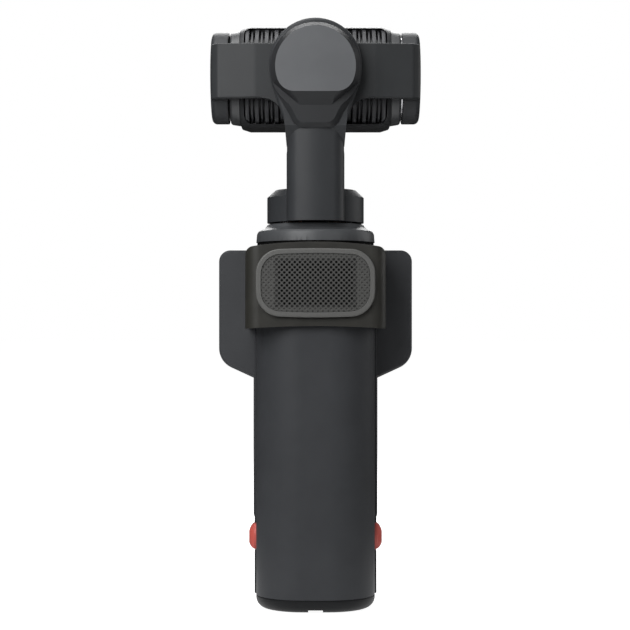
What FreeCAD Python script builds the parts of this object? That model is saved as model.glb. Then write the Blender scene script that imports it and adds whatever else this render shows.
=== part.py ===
import FreeCAD, Part
import Sketcher
import math
import os

# Pocket gimbal camera, in millimetres.
# Z is up, X is to the right and Y runs away from the rear of the grip towards the screen side.
# The origin is the mouth of the tripod thread, in the middle of the base.

os.makedirs("parts", exist_ok=True)
doc = FreeCAD.newDocument("gimbal_camera")
sheet = doc.addObject("Spreadsheet::Sheet", "Sizes")

SIZES = [
    # Fits and gaps
    ("seat_gap", 0.05),
    ("face_gap", 0.2),
    ("moving_gap", 0.35),
    # Grip shells
    ("grip_half_width", 16.4),
    ("frame_half_width", 16.9),
    ("grip_rear", 15.0),
    ("grip_crown", 0.6),
    ("grip_wall", 1.5),
    ("grip_corner", 13.0),
    ("grip_top", 99.5),
    ("split_depth", 1.0),
    ("dock_depth", 8.0),
    ("chin_front", 15.5),
    ("chin_top", 22.0),
    ("chin_corner", 4.0),
    ("roof_wall", 1.5),
    # Base cap
    ("base_height", 3.45),
    ("base_seam", 0.12),
    ("base_round", 3.0),
    ("base_plate", 2.0),
    ("notch_width", 4.0),
    ("notch_depth", 0.8),
    ("notch_length", 6.0),
    ("thread_radius", 3.175),
    ("insert_radius", 4.6),
    ("insert_depth", 7.0),
    ("base_boss_radius", 6.4),
    ("boss_roof", 1.2),
    ("screw_radius", 0.8),
    ("screw_head_radius", 1.5),
    ("screw_head_height", 0.8),
    ("screw_length", 5.0),
    ("screw_inset", 0.2),
    ("screw_slot_width", 0.4),
    ("screw_slot_depth", 0.25),
    ("base_screw_x", 10.0),
    ("base_screw_y", 7.0),
    ("port_width", 8.94),
    ("port_height", 3.26),
    ("port_wall", 0.3),
    ("port_inset", 0.3),
    ("tongue_margin", 1.1),
    ("tongue_thickness", 0.7),
    ("port_length", 7.35),
    ("port_centre", 11.0),
    # Battery, board and parts inside the grip
    ("battery_width", 20.0),
    ("battery_depth", 10.0),
    ("battery_length", 54.0),
    ("battery_rear", 11.1),
    ("battery_floor", 26.0),
    ("cradle_wall", 1.0),
    ("cradle_grip", 4.0),
    ("board_width", 27.0),
    ("board_thickness", 1.0),
    ("board_floor", 28.0),
    ("board_length", 66.0),
    ("can_width", 20.0),
    ("can_length", 24.0),
    ("can_height", 1.6),
    ("can_floor", 56.0),
    ("card_width", 12.0),
    ("card_length", 14.0),
    ("card_height", 1.4),
    ("card_floor", 38.0),
    ("speaker_width", 16.0),
    ("speaker_height", 14.5),
    ("speaker_depth", 4.0),
    # Dock on the front of the grip
    ("contact_width", 12.0),
    ("contact_height", 4.0),
    ("contact_depth", 1.4),
    ("contact_floor", 30.0),
    ("pin_radius", 0.5),
    ("pin_pitch", 2.0),
    ("magnet_radius", 3.0),
    ("magnet_depth", 1.2),
    ("magnet_x", 10.0),
    ("magnet_low", 44.0),
    ("magnet_high", 88.0),
    # Release buttons
    ("button_centre", 19.3),
    ("button_height", 7.2),
    ("button_length", 7.0),
    ("button_y", 2.0),
    ("button_proud", 1.5),
    ("button_travel", 0.8),
    ("button_round", 1.2),
    ("button_flange", 0.8),
    ("button_lip", 0.9),
    ("bracket_half_width", 2.5),
    ("spring_radius", 1.5),
    ("spring_wire", 0.15),
    ("spring_length", 2.4),
    ("spring_turns", 3),
    ("spring_runs", 16),
    # Saddle and grille round the top of the grip
    ("saddle_half_width", 19.0),
    ("saddle_inner", 17.0),
    ("saddle_rear", 17.2),
    ("saddle_low", 76.9),
    ("saddle_high", 100.3),
    ("saddle_front", 7.9),
    ("saddle_corner", 4.0),
    ("saddle_shoulder", 2.4),
    ("saddle_drop", 1.5),
    ("saddle_sag", 0.7),
    ("window_width", 21.0),
    ("window_height", 12.5),
    ("window_corner", 3.0),
    ("grille_width", 32.0),
    ("grille_height", 18.6),
    ("grille_corner", 6.6),
    ("grille_bow_side", 0.5),
    ("grille_bow_edge", 0.6),
    ("grille_centre", 89.2),
    ("grille_depth", 1.4),
    ("grille_rim", 1.35),
    ("grille_plate", 0.5),
    ("grille_recess", 0.35),
    ("hole_radius", 0.27),
    ("hole_pitch", 1.39),
    ("cloth_depth", 0.3),
    # Neck ring
    ("neck_bottom", 99.7),
    ("neck_radius", 16.5),
    ("neck_shoulder", 102.9),
    ("neck_edge", 103.75),
    ("neck_edge_radius", 15.8),
    ("neck_top", 105.7),
    ("neck_top_radius", 13.2),
    ("neck_wall", 1.6),
    ("neck_boss_top", 112.2),
    # Motors
    ("shaft_radius", 1.5),
    ("shaft_gap", 0.03),
    ("bearing_radius", 3.0),
    ("bearing_width", 1.6),
    ("boss_radius", 3.7),
    ("core_radius", 8.6),
    ("core_hub", 5.0),
    ("pan_core_lift", 1.2),
    ("tooth_width", 1.8),
    ("tooth_count", 9),
    ("core_height", 4.0),
    ("tilt_core_height", 3.0),
    ("coil_width", 3.0),
    ("coil_start", 0.5),
    ("magnet_gap", 0.4),
    ("magnet_ring", 1.6),
    # Collar and arm
    ("collar_radius", 13.4),
    ("collar_bottom", 106.15),
    ("collar_top", 115.3),
    ("collar_chamfer", 2.2),
    ("collar_wall", 2.0),
    ("collar_roof", 2.2),
    ("stem_half_width", 7.85),
    ("stem_rear", 16.4),
    ("stem_front", 9.4),
    ("stem_round", 4.5),
    ("stem_crown", 2.0),
    ("stem_thinning", 125.0),
    ("axis_height", 147.0),
    ("can_radius", 12.5),
    ("can_rise", 1.3),
    ("can_front", 12.4),
    ("can_wall", 1.5),
    ("taper_top", 145.0),
    ("taper_bottom", 132.4),
    ("blend_top", 131.6),
    ("blend_bottom", 126.2),
    # Keyhole lid of the roll motor
    ("lid_radius", 12.2),
    ("lid_bevel", 1.45),
    ("lid_rear", 21.0),
    ("lid_pad_rear", 18.0),
    ("lid_bottom", 130.9),
    ("lid_foot", 5.3),
    ("lid_taper_top", 142.0),
    ("lid_chord", 140.2),
    ("lid_chord_half", 5.6),
    ("lid_slope_half", 4.35),
    ("lid_slope_end", 136.9),
    ("lid_wall", 1.2),
    ("lid_room", 1.4),
    ("lid_foot_round", 3.6),
    ("lid_plate_bevel", 1.3),
    # Yoke
    ("yoke_half_height", 7.5),
    ("yoke_inset", 0.3),
    ("yoke_rear", 12.0),
    ("yoke_thickness", 2.3),
    ("yoke_end_rear", 10.75),
    ("yoke_bend_start", 16.5),
    ("yoke_bend_end", 26.6),
    ("yoke_arm_front", 2.0),
    ("yoke_end_bevel", 1.8),
    ("yoke_bow_round", 10.0),
    ("hub_radius", 8.6),
    ("yoke_corner", 2.0),
    ("yoke_edge", 0.5),
    ("yoke_flare", 5.6),
    ("yoke_flare_reach", 14.5),
    # Tilt motors and camera
    ("tilt_depth", 5.2),
    ("cap_radius", 12.75),
    ("cap_gap", 0.4),
    ("cap_depth", 4.8),
    ("cap_round", 1.4),
    ("cap_wall", 1.0),
    ("camera_half_width", 23.7),
    ("camera_half_height", 14.1),
    ("camera_rear", 12.6),
    ("camera_front", 12.0),
    ("camera_round", 11.4),
    ("camera_front_round", 3.0),
    ("camera_wall", 1.4),
    ("cheek_width", 2.8),
    ("cheek_radius", 13.3),
    ("cheek_taper", 0.45),
    ("cheek_round", 0.8),
    ("camera_side_run", 2.4),
    ("camera_side_drop", 0.75),
    ("recess_depth", 3.4),
    ("recess_half_width", 19.75),
    ("fin_pitch", 2.69),
    ("fin_wide", 1.05),
    ("fin_narrow", 0.55),
    ("fin_count", 15),
    ("sink_base", 1.0),
    ("front_plate", 1.6),
    ("front_shell_depth", 3.0),
    ("recess_rim", 0.8),
    ("recess_corner", 2.2),
    ("recess_reach", 9.4),
    ("sink_opening_half", 5.0),
    ("sink_opening_margin", 2.0),
    ("fin_gap", 0.2),
    ("fin_step", 0.5),
    # Lenses
    ("lens_main_x", 8.6),
    ("lens_main_radius", 8.8),
    ("lens_tele_x", 12.6),
    ("lens_tele_radius", 6.4),
    ("lens_proud", 2.6),
    ("lens_wall", 1.2),
    ("glass_thickness", 1.2),
    ("glass_recess", 0.4),
    ("barrel_length", 11.0),
    ("element_thickness", 1.8),
    ("element_gap", 0.6),
    ("element_start", 1.0),
    ("lens_ledge", 1.2),
    ("sensor_board_height", 19.0),
    ("sensor_board_thickness", 1.0),
    ("sensor_board_margin", 0.3),
    # Screen unit
    ("unit_rear", 8.2),
    ("unit_front", 15.5),
    ("unit_wall", 1.4),
    ("unit_half_width", 27.25),
    ("unit_strip_half", 17.5),
    ("unit_top", 99.0),
    ("unit_bottom", 22.4),
    ("unit_step_high", 67.5),
    ("unit_step_low", 63.0),
    ("unit_corner", 3.2),
    ("unit_low_corner", 6.0),
    ("unit_foot_corner", 2.5),
    ("unit_edge", 0.6),
    ("bezel_depth", 1.6),
    ("glass_half_width", 25.6),
    ("glass_bottom", 69.4),
    ("glass_top", 97.4),
    ("glass_corner", 2.4),
    ("glass_depth", 0.7),
    ("panel_margin", 1.2),
    ("panel_depth", 1.4),
    ("unit_battery_width", 40.0),
    ("unit_battery_height", 20.0),
    ("unit_battery_depth", 2.0),
    ("unit_board_margin", 1.1),
    ("unit_board_height", 62.0),
    ("unit_board_depth", 0.8),
    ("record_rise", 14.5),
    ("record_rim", 1.0),
    ("record_rim_height", 0.7),
    ("record_inset", 1.0),
    ("switch_width", 5.0),
    ("record_radius", 4.6),
    ("record_proud", 0.7),
    ("record_travel", 0.5),
    ("stick_rise", 10.5),
    ("stick_well_radius", 6.2),
    ("stick_cap_radius", 3.6),
    ("stick_ring_radius", 3.6),
    ("stick_proud", 1.6),
    ("stick_pivot_depth", 2.6),
    ("stick_ring_wall", 1.0),
    ("stick_ring_height", 1.2),
    ("stick_post_radius", 0.9),
    ("stick_pin_radius", 0.45),
    ("stick_pin_gap", 0.03),
    ("stick_skirt_radius", 2.4),
    ("stick_skirt_height", 0.8),
    ("stick_lift", 0.2),
    ("stick_dish_depth", 0.3),
    ("stick_dish_rim", 0.9),
    ("stick_room", 0.4),
    ("stick_cup_rise", 0.9),
    ("stick_cup_depth", 1.8),
    ("key_rise", 6.6),
    ("key_length", 8.0),
    ("key_width", 3.2),
    ("key_proud", 0.4),
    ("key_travel", 0.35),
    ("key_round", 1.2),
    ("key_rim", 0.8),
    ("key_rim_height", 0.6),
    ("key_inset", 0.8),
    ("key_switch_width", 4.0),
    ("key_switch_height", 3.0),
]


class Dim:
    """A length that carries its number and the sheet expression behind it."""

    def __init__(self, value, text):
        self.value = value
        self.text = text

    def combine(self, other, sign, value, flip=False):
        first, second = self.text, wrap(other).text
        if flip:
            first, second = second, first
        return Dim(value, "(%s %s %s)" % (first, sign, second))

    def __add__(self, other):
        return self.combine(other, "+", self.value + wrap(other).value)

    def __radd__(self, other):
        return self.combine(other, "+", wrap(other).value + self.value, True)

    def __sub__(self, other):
        return self.combine(other, "-", self.value - wrap(other).value)

    def __rsub__(self, other):
        return self.combine(other, "-", wrap(other).value - self.value, True)

    def __mul__(self, other):
        return self.combine(other, "*", self.value * wrap(other).value)

    def __rmul__(self, other):
        return self.combine(other, "*", wrap(other).value * self.value, True)

    def __truediv__(self, other):
        return self.combine(other, "/", self.value / wrap(other).value)

    def __neg__(self):
        return Dim(-self.value, "(0 - %s)" % self.text)


def wrap(value):
    """Let a plain number stand where a Dim is expected."""
    if isinstance(value, Dim):
        return value
    return Dim(float(value), "%.6f" % float(value))


def root(value):
    return Dim(math.sqrt(wrap(value).value), "sqrt(%s)" % wrap(value).text)


class Sizes:
    pass


d = Sizes()
for row, (alias, number) in enumerate(SIZES, start=1):
    sheet.set("A%d" % row, alias)
    sheet.set("B%d" % row, str(number))
    sheet.setAlias("B%d" % row, alias)
    setattr(d, alias, Dim(float(number), "Sizes." + alias))
doc.recompute()

# Places that follow from the sizes: the caps stand beside the camera, the yoke ends in the caps,
# and the controls stand above each other on the strip
d.cap_inner = d.camera_half_width + d.cap_gap
d.cap_outer = d.cap_inner + d.cap_depth
d.yoke_half_width = d.cap_outer - d.yoke_inset
d.key_height = d.unit_bottom + d.key_rise
d.stick_height = d.key_height + d.stick_rise
d.record_height = d.stick_height + d.record_rise

NODES = []
TURN = {
    "Z": FreeCAD.Rotation(),
    "X": FreeCAD.Rotation(FreeCAD.Vector(0, 1, 0), 90),
    "Y": FreeCAD.Rotation(FreeCAD.Vector(1, 0, 0), -90),
}


# Helpers that tie a property, a place or a profile to the sheet

def bind(obj, name, value):
    value = wrap(value)
    if "Sizes." in value.text:
        obj.setExpression(name, value.text)
    else:
        setattr(obj, name, value.value)


def place(obj, x, y, z, rotation=None):
    x, y, z = wrap(x), wrap(y), wrap(z)
    rotation = rotation or FreeCAD.Rotation()
    obj.Placement = FreeCAD.Placement(FreeCAD.Vector(x.value, y.value, z.value), rotation)
    for axis, value in (("x", x), ("y", y), ("z", z)):
        if "Sizes." in value.text:
            obj.setExpression("Placement.Base." + axis, value.text)


def box(name, x0, x1, y0, y1, z0, z1):
    obj = doc.addObject("Part::Box", name)
    bind(obj, "Length", wrap(x1) - x0)
    bind(obj, "Width", wrap(y1) - y0)
    bind(obj, "Height", wrap(z1) - z0)
    place(obj, x0, y0, z0)
    return obj


def axis_point(axis, along, across, up):
    """Centre line point: along the axis, and the two other coordinates in X, Y, Z order."""
    if axis == "X":
        return along, across, up
    if axis == "Y":
        return across, along, up
    return across, up, along


def cylinder(name, radius, start, end, axis="Z", across=0, up=0):
    obj = doc.addObject("Part::Cylinder", name)
    bind(obj, "Radius", radius)
    bind(obj, "Height", wrap(end) - start)
    place(obj, *axis_point(axis, start, across, up), rotation=TURN[axis])
    return obj


def cone(name, radius_start, radius_end, start, end, axis="Z", across=0, up=0):
    obj = doc.addObject("Part::Cone", name)
    bind(obj, "Radius1", radius_start)
    bind(obj, "Radius2", radius_end)
    bind(obj, "Height", wrap(end) - start)
    place(obj, *axis_point(axis, start, across, up), rotation=TURN[axis])
    return obj


def fuse(name, *pieces):
    obj = doc.addObject("Part::MultiFuse", name)
    obj.Shapes = list(pieces)
    obj.Refine = True
    return obj


def cut(name, base, *tools):
    tool = tools[0] if len(tools) == 1 else fuse(name + "_tools", *tools)
    obj = doc.addObject("Part::Cut", name)
    obj.Base = base
    obj.Tool = tool
    obj.Refine = True
    return obj


def common(name, base, tool):
    obj = doc.addObject("Part::Common", name)
    obj.Base = base
    obj.Tool = tool
    return obj


def group(name, *pieces):
    """Separate solids that share one node."""
    obj = doc.addObject("Part::Compound", name)
    obj.Links = list(pieces)
    return obj


def tube(name, outer, inner, start, end, axis="Z", across=0, up=0):
    solid = cylinder(name + "_outer", outer, start, end, axis, across, up)
    bore = cylinder(name + "_bore", inner, wrap(start) - 1, wrap(end) + 1, axis, across, up)
    return cut(name, solid, bore)


def sketch_on(body, plane, offset, name):
    sketch = body.newObject("Sketcher::SketchObject", name)
    origin_plane = [f for f in body.Origin.OriginFeatures if f.Role == plane + "_Plane"][0]
    sketch.AttachmentSupport = (origin_plane, [""])
    sketch.MapMode = "FlatFace"
    offset = wrap(offset)
    if "Sizes." in offset.text:
        sketch.setExpression("AttachmentOffset.Base.z", offset.text)
    else:
        sketch.AttachmentOffset = FreeCAD.Placement(
            FreeCAD.Vector(0, 0, offset.value), FreeCAD.Rotation())
    return sketch


def draw_profile(sketch, points, arcs=None):
    """Closed outline through points. arcs gives segment number: (radius, side of the bulge).

    The side is -1 for a bulge to the right of the way along the outline, and 1 to the left.
    """
    arcs = arcs or {}
    count = len(points)
    corners = [(wrap(u), wrap(v)) for u, v in points]
    flat = [FreeCAD.Vector(u.value, v.value, 0) for u, v in corners]
    ends = []
    for i in range(count):
        first, last = flat[i], flat[(i + 1) % count]
        if i in arcs:
            radius, side = wrap(arcs[i][0]), arcs[i][1]
            chord = last - first
            half = chord.Length / 2
            rise = radius.value - math.sqrt(max(radius.value ** 2 - half ** 2, 0))
            normal = FreeCAD.Vector(-chord.y, chord.x, 0).normalize()
            middle = (first + last) * 0.5 + normal * rise * side
            # a sketch keeps its arcs anticlockwise
            if side > 0:
                sketch.addGeometry(Part.Arc(last, middle, first), False)
                ends.append((2, 1))
            else:
                sketch.addGeometry(Part.Arc(first, middle, last), False)
                ends.append((1, 2))
        else:
            sketch.addGeometry(Part.LineSegment(first, last), False)
            ends.append((1, 2))
    constraint = Sketcher.Constraint
    for i in range(count):
        j = (i + 1) % count
        sketch.addConstraint(constraint("Coincident", i, ends[i][1], j, ends[j][0]))
    for i in range(count):
        for kind, value in (("DistanceX", corners[i][0]), ("DistanceY", corners[i][1])):
            index = sketch.addConstraint(constraint(kind, -1, 1, i, ends[i][0], value.value))
            if "Sizes." in value.text:
                sketch.setExpression("Constraints[%d]" % index, value.text)
    for i, (radius, side) in arcs.items():
        radius = wrap(radius)
        index = sketch.addConstraint(constraint("Radius", i, radius.value))
        if "Sizes." in radius.text:
            sketch.setExpression("Constraints[%d]" % index, radius.text)


def prism(name, plane, points, start, end, arcs=None, rounds=None):
    """Outline padded from start to end. rounds gives corner number: radius."""
    body = doc.addObject("PartDesign::Body", name)
    start, end = wrap(start), wrap(end)
    # the XZ plane faces -Y, so its pad starts at the far end
    offset = -end if plane == "XZ" else start
    sketch = sketch_on(body, plane, offset, name + "_sketch")
    draw_profile(sketch, points, arcs)
    pad = body.newObject("PartDesign::Pad", name + "_pad")
    pad.Profile = sketch
    bind(pad, "Length", end - start)
    doc.recompute()
    base = pad
    normal = {"XY": 2, "XZ": 1, "YZ": 0}[plane]
    flat = {"XY": (0, 1), "XZ": (0, 2), "YZ": (1, 2)}[plane]
    by_radius = {}
    for corner, radius in (rounds or {}).items():
        by_radius.setdefault(wrap(radius).text, (wrap(radius), []))[1].append(corner)
    for number, (radius, chosen) in enumerate(by_radius.values()):
        names = []
        for index, edge in enumerate(base.Shape.Edges, start=1):
            if len(edge.Vertexes) != 2:
                continue
            a, b = edge.Vertexes[0].Point, edge.Vertexes[1].Point
            if abs(abs(a[normal] - b[normal]) - (end.value - start.value)) > 1e-4:
                continue
            for corner in chosen:
                u, v = wrap(points[corner][0]).value, wrap(points[corner][1]).value
                if abs(a[flat[0]] - u) < 1e-3 and abs(a[flat[1]] - v) < 1e-3:
                    names.append("Edge%d" % index)
        fillet = body.newObject("PartDesign::Fillet", "%s_round%d" % (name, number))
        fillet.Base = (base, names)
        bind(fillet, "Radius", radius)
        doc.recompute()
        base = fillet
    return body


def lofted(name, near, far, near_points, far_points, near_arcs=None, far_arcs=None):
    """Straight-sided solid between two upright outlines that have as many corners."""
    body = doc.addObject("PartDesign::Body", name)
    near_sketch = sketch_on(body, "XZ", -near, name + "_near")
    draw_profile(near_sketch, near_points, near_arcs)
    far_sketch = sketch_on(body, "XZ", -far, name + "_far")
    draw_profile(far_sketch, far_points, far_arcs)
    doc.recompute()
    loft = body.newObject("PartDesign::AdditiveLoft", name + "_loft")
    loft.Profile = near_sketch
    loft.Sections = [(far_sketch, [""])]
    loft.Ruled = True
    doc.recompute()
    return body


def dress(body, kind, size, chooser, tag):
    """Round or bevel the edges that chooser picks from the body's present shape."""
    base = body.Tip
    names = ["Edge%d" % i for i, e in enumerate(base.Shape.Edges, start=1) if chooser(e)]
    feature = body.newObject("PartDesign::" + kind, "%s_%s" % (body.Name, tag))
    feature.Base = (base, names)
    bind(feature, "Radius" if kind == "Fillet" else "Size", size)
    doc.recompute()
    return body


def turned(name, profile, axis="Z", along=0, across=0, up=0, arcs=None):
    """Profile of (radius, length) points turned round the axis."""
    body = doc.addObject("PartDesign::Body", name)
    sketch = sketch_on(body, "XZ", 0, name + "_sketch")
    draw_profile(sketch, profile, arcs)
    feature = body.newObject("PartDesign::Revolution", name + "_turn")
    feature.Profile = sketch
    feature.ReferenceAxis = (sketch, ["V_Axis"])
    feature.Angle = 360
    place(body, *axis_point(axis, along, across, up), rotation=TURN[axis])
    doc.recompute()
    return body


def mirror_points(half):
    """Outline from its right half, listed from the bottom up, mirrored to the left."""
    left = [(-wrap(u), v) for u, v in reversed(half)]
    return list(half) + left


def edges_at(axis, level, tolerance=1e-3):
    """Choose edges that lie in the plane where the coordinate equals level."""
    def chooser(edge):
        box_of = edge.BoundBox
        low = (box_of.XMin, box_of.YMin, box_of.ZMin)[axis]
        high = (box_of.XMax, box_of.YMax, box_of.ZMax)[axis]
        return abs(low - level) < tolerance and abs(high - level) < tolerance
    return chooser


def node(name, obj):
    obj.Label = name
    NODES.append((name, obj))
    return obj


# Grip shells

def arc_radius(half_chord, rise):
    return (half_chord * half_chord + rise * rise) / (2 * rise)


def shell_section(half_width, rear, crown, front):
    """Rear half of the grip from above: flat sides, crowned rear, open front."""
    side = rear - crown
    points = [(-half_width, -side), (half_width, -side), (half_width, -front), (-half_width, -front)]
    return points, {0: (arc_radius(half_width, crown), -1)}


floor = d.base_height + d.base_seam
points, arcs = shell_section(d.grip_half_width, d.grip_rear, d.grip_crown, d.split_depth)
rear_solid = prism("rear_solid", "XY", points, floor, d.grip_top, arcs,
                   {0: d.grip_corner, 1: d.grip_corner})
points, arcs = shell_section(d.grip_half_width - d.grip_wall, d.grip_rear - d.grip_wall,
                             d.grip_crown, d.split_depth - 1)
rear_hollow = prism("rear_hollow", "XY", points, floor - 1, d.grip_top - d.roof_wall, arcs,
                    {0: d.grip_corner - d.grip_wall, 1: d.grip_corner - d.grip_wall})
speaker_window = box("speaker_window", -d.window_width / 2, d.window_width / 2,
                     -d.grip_rear - 1, -d.grip_rear + d.grip_wall + d.grip_corner / 4,
                     d.grille_centre - d.window_height / 2, d.grille_centre + d.window_height / 2)


def button_hole(name, side, extra):
    """Opening for a release button through the side wall of the shells."""
    inner = d.grip_half_width - d.grip_wall - 1
    outer = d.frame_half_width + 1
    x0, x1 = (inner, outer) if side > 0 else (-outer, -inner)
    return box(name, x0, x1,
               d.button_y - d.button_length / 2 - extra, d.button_y + d.button_length / 2 + extra,
               d.button_centre - d.button_height / 2 - extra,
               d.button_centre + d.button_height / 2 + extra)


rear_shell = cut("rear_shell", rear_solid, rear_hollow, speaker_window,
                 button_hole("rear_hole_right", 1, d.face_gap), button_hole("rear_hole_left", -1, d.face_gap))
node("rear_shell", rear_shell)

split = -d.split_depth + d.seat_gap
profile = [(split, floor), (d.chin_front, floor), (d.chin_front, d.chin_top),
           (d.dock_depth, d.chin_top), (d.dock_depth, d.grip_top), (split, d.grip_top)]
frame_solid = prism("frame_solid", "YZ", profile, -d.frame_half_width, d.frame_half_width,
                    rounds={2: d.grip_wall})
inner = [(split - 1, floor - 1), (d.chin_front - d.grip_wall, floor - 1),
         (d.chin_front - d.grip_wall, d.chin_top - d.grip_wall),
         (d.dock_depth - d.grip_wall, d.chin_top - d.grip_wall),
         (d.dock_depth - d.grip_wall, d.grip_top - d.roof_wall), (split - 1, d.grip_top - d.roof_wall)]
frame_hollow = prism("frame_hollow", "YZ", inner,
                     -d.frame_half_width + d.grip_wall, d.frame_half_width - d.grip_wall)
front_corners = prism("front_corners", "XY",
                      [(d.frame_half_width, -d.chin_front), (d.frame_half_width, d.chin_front),
                       (-d.frame_half_width, d.chin_front), (-d.frame_half_width, -d.chin_front)],
                      floor - 1, d.grip_top + 1, rounds={1: d.chin_corner, 2: d.chin_corner})
contact_hole = box("contact_hole", -d.contact_width / 2 - d.seat_gap, d.contact_width / 2 + d.seat_gap,
                   d.dock_depth - d.grip_wall - 1, d.dock_depth + 1,
                   d.contact_floor - d.seat_gap, d.contact_floor + d.contact_height + d.seat_gap)
magnet_seats = []
magnets = []
magnet_places = [(side * d.magnet_x, height) for side in (-1, 1) for height in (d.magnet_low, d.magnet_high)]
for number, (x, z) in enumerate(magnet_places):
    magnet_seats.append(cylinder("magnet_seat%d" % number, d.magnet_radius + d.seat_gap,
                                 d.dock_depth - d.magnet_depth - d.seat_gap, d.dock_depth + 1, "Y", x, z))
    magnets.append(cylinder("magnet%d" % number, d.magnet_radius,
                            d.dock_depth - d.magnet_depth, d.dock_depth, "Y", x, z))
frame_block = common("frame_block", frame_solid, front_corners)
front_frame = cut("front_frame", frame_block, frame_hollow, contact_hole, *magnet_seats,
                  button_hole("frame_hole_right", 1, d.face_gap),
                  button_hole("frame_hole_left", -1, d.face_gap))
node("front_frame", front_frame)
node("dock_magnets", group("dock_magnets", *magnets))

contact_block = box("contact_block", -d.contact_width / 2, d.contact_width / 2,
                    d.dock_depth - d.contact_depth, d.dock_depth - d.seat_gap,
                    d.contact_floor, d.contact_floor + d.contact_height)
contact_pins = []
contact_bores = []
for number in range(5):
    x = (number - 2) * d.pin_pitch
    z = d.contact_floor + d.contact_height / 2
    contact_pins.append(cylinder("contact_pin%d" % number, d.pin_radius,
                                 d.dock_depth - d.contact_depth, d.dock_depth, "Y", x, z))
    contact_bores.append(cylinder("contact_bore%d" % number, d.pin_radius + d.seat_gap,
                                  d.dock_depth - d.contact_depth - 1, d.dock_depth + 1, "Y", x, z))
node("dock_contacts", group("dock_contacts", cut("dock_contact_block", contact_block, *contact_bores),
                            *contact_pins))

# Base cap with the tripod thread, the notch and the charging port

cap_points = [(-d.grip_half_width, -(d.grip_rear - d.grip_crown)),
              (d.grip_half_width, -(d.grip_rear - d.grip_crown)),
              (d.grip_half_width, d.chin_front), (-d.grip_half_width, d.chin_front)]
cap_solid = prism("cap_solid", "XY", cap_points, 0, d.base_height,
                  {0: (arc_radius(d.grip_half_width, d.grip_crown), -1)},
                  {0: d.grip_corner, 1: d.grip_corner, 2: d.chin_corner, 3: d.chin_corner})
dress(cap_solid, "Fillet", d.base_round, edges_at(2, 0.0), "rim")
cap_points = [(-d.grip_half_width + d.grip_wall, -(d.grip_rear - d.grip_crown) + d.grip_wall),
              (d.grip_half_width - d.grip_wall, -(d.grip_rear - d.grip_crown) + d.grip_wall),
              (d.grip_half_width - d.grip_wall, d.chin_front - d.grip_wall),
              (-d.grip_half_width + d.grip_wall, d.chin_front - d.grip_wall)]
cap_hollow = prism("cap_hollow", "XY", cap_points, d.base_plate, d.base_height + 1,
                   {0: (arc_radius(d.grip_half_width - d.grip_wall, d.grip_crown), -1)},
                   {0: d.grip_corner - d.grip_wall, 1: d.grip_corner - d.grip_wall})
notch = box("notch", -d.notch_width / 2, d.notch_width / 2, -d.grip_rear - 1, -d.grip_rear + d.notch_length,
            -1, d.notch_depth)
boss_top = d.insert_depth + d.boss_roof
cap_boss = cylinder("cap_boss", d.base_boss_radius, d.base_plate - 0.5, boss_top)
insert_seat = cylinder("insert_seat", d.insert_radius + d.seat_gap, -1, d.insert_depth + d.seat_gap)
port_slot = box("port_slot", -d.port_width / 2 - d.seat_gap, d.port_width / 2 + d.seat_gap,
                d.port_centre - d.port_height / 2 - d.seat_gap,
                d.port_centre + d.port_height / 2 + d.seat_gap, -1, d.base_height + 1)
screw_places = [(x * d.base_screw_x, y * d.base_screw_y) for x in (-1, 1) for y in (-1, 1)]
screw_cuts = []
screws = []
for number, (x, y) in enumerate(screw_places):
    head = cylinder("base_screw_head%d" % number, d.screw_head_radius,
                    d.screw_inset, d.screw_inset + d.screw_head_height, "Z", x, y)
    shank = cylinder("base_screw_shank%d" % number, d.screw_radius, d.screw_inset,
                     d.screw_inset + d.screw_length, "Z", x, y)
    slot = box("base_screw_slot%d" % number, x - d.screw_head_radius * 0.6, x + d.screw_head_radius * 0.6,
               y - d.screw_slot_width / 2, y + d.screw_slot_width / 2, 0, d.screw_inset + d.screw_slot_depth)
    screws.append(cut("base_screw%d" % number, fuse("base_screw_blank%d" % number, head, shank), slot))
    screw_cuts.append(cylinder("base_counterbore%d" % number, d.screw_head_radius + d.seat_gap,
                               -1, d.screw_inset + d.screw_head_height, "Z", x, y))
    screw_cuts.append(cylinder("base_screw_bore%d" % number, d.screw_radius + d.seat_gap,
                               -1, d.base_height + 1, "Z", x, y))
base_cap = cut("base_cap", fuse("cap_with_boss", cut("cap_tray", cap_solid, cap_hollow), cap_boss),
               notch, insert_seat, port_slot, *screw_cuts)
node("base_cap", base_cap)
node("base_screws", group("base_screws", *screws))
node("tripod_insert", tube("tripod_insert", d.insert_radius, d.thread_radius, 0, d.insert_depth))

port_outer = box("port_outer", -d.port_width / 2, d.port_width / 2,
                 d.port_centre - d.port_height / 2, d.port_centre + d.port_height / 2,
                 d.port_inset, d.port_inset + d.port_length)
port_inner = box("port_inner", -d.port_width / 2 + d.port_wall, d.port_width / 2 - d.port_wall,
                 d.port_centre - d.port_height / 2 + d.port_wall,
                 d.port_centre + d.port_height / 2 - d.port_wall, -1, d.port_inset + d.port_length - 1)
port_tongue = box("port_tongue", -d.port_width / 2 + d.tongue_margin, d.port_width / 2 - d.tongue_margin,
                  d.port_centre - d.tongue_thickness / 2, d.port_centre + d.tongue_thickness / 2,
                  d.port_inset + d.tongue_thickness, d.port_inset + d.port_length - 0.5)
node("charging_port", fuse("charging_port", cut("port_shell", port_outer, port_inner), port_tongue))

# Inside the grip: battery in its cradle, main board with shield can and card socket, speaker

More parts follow.
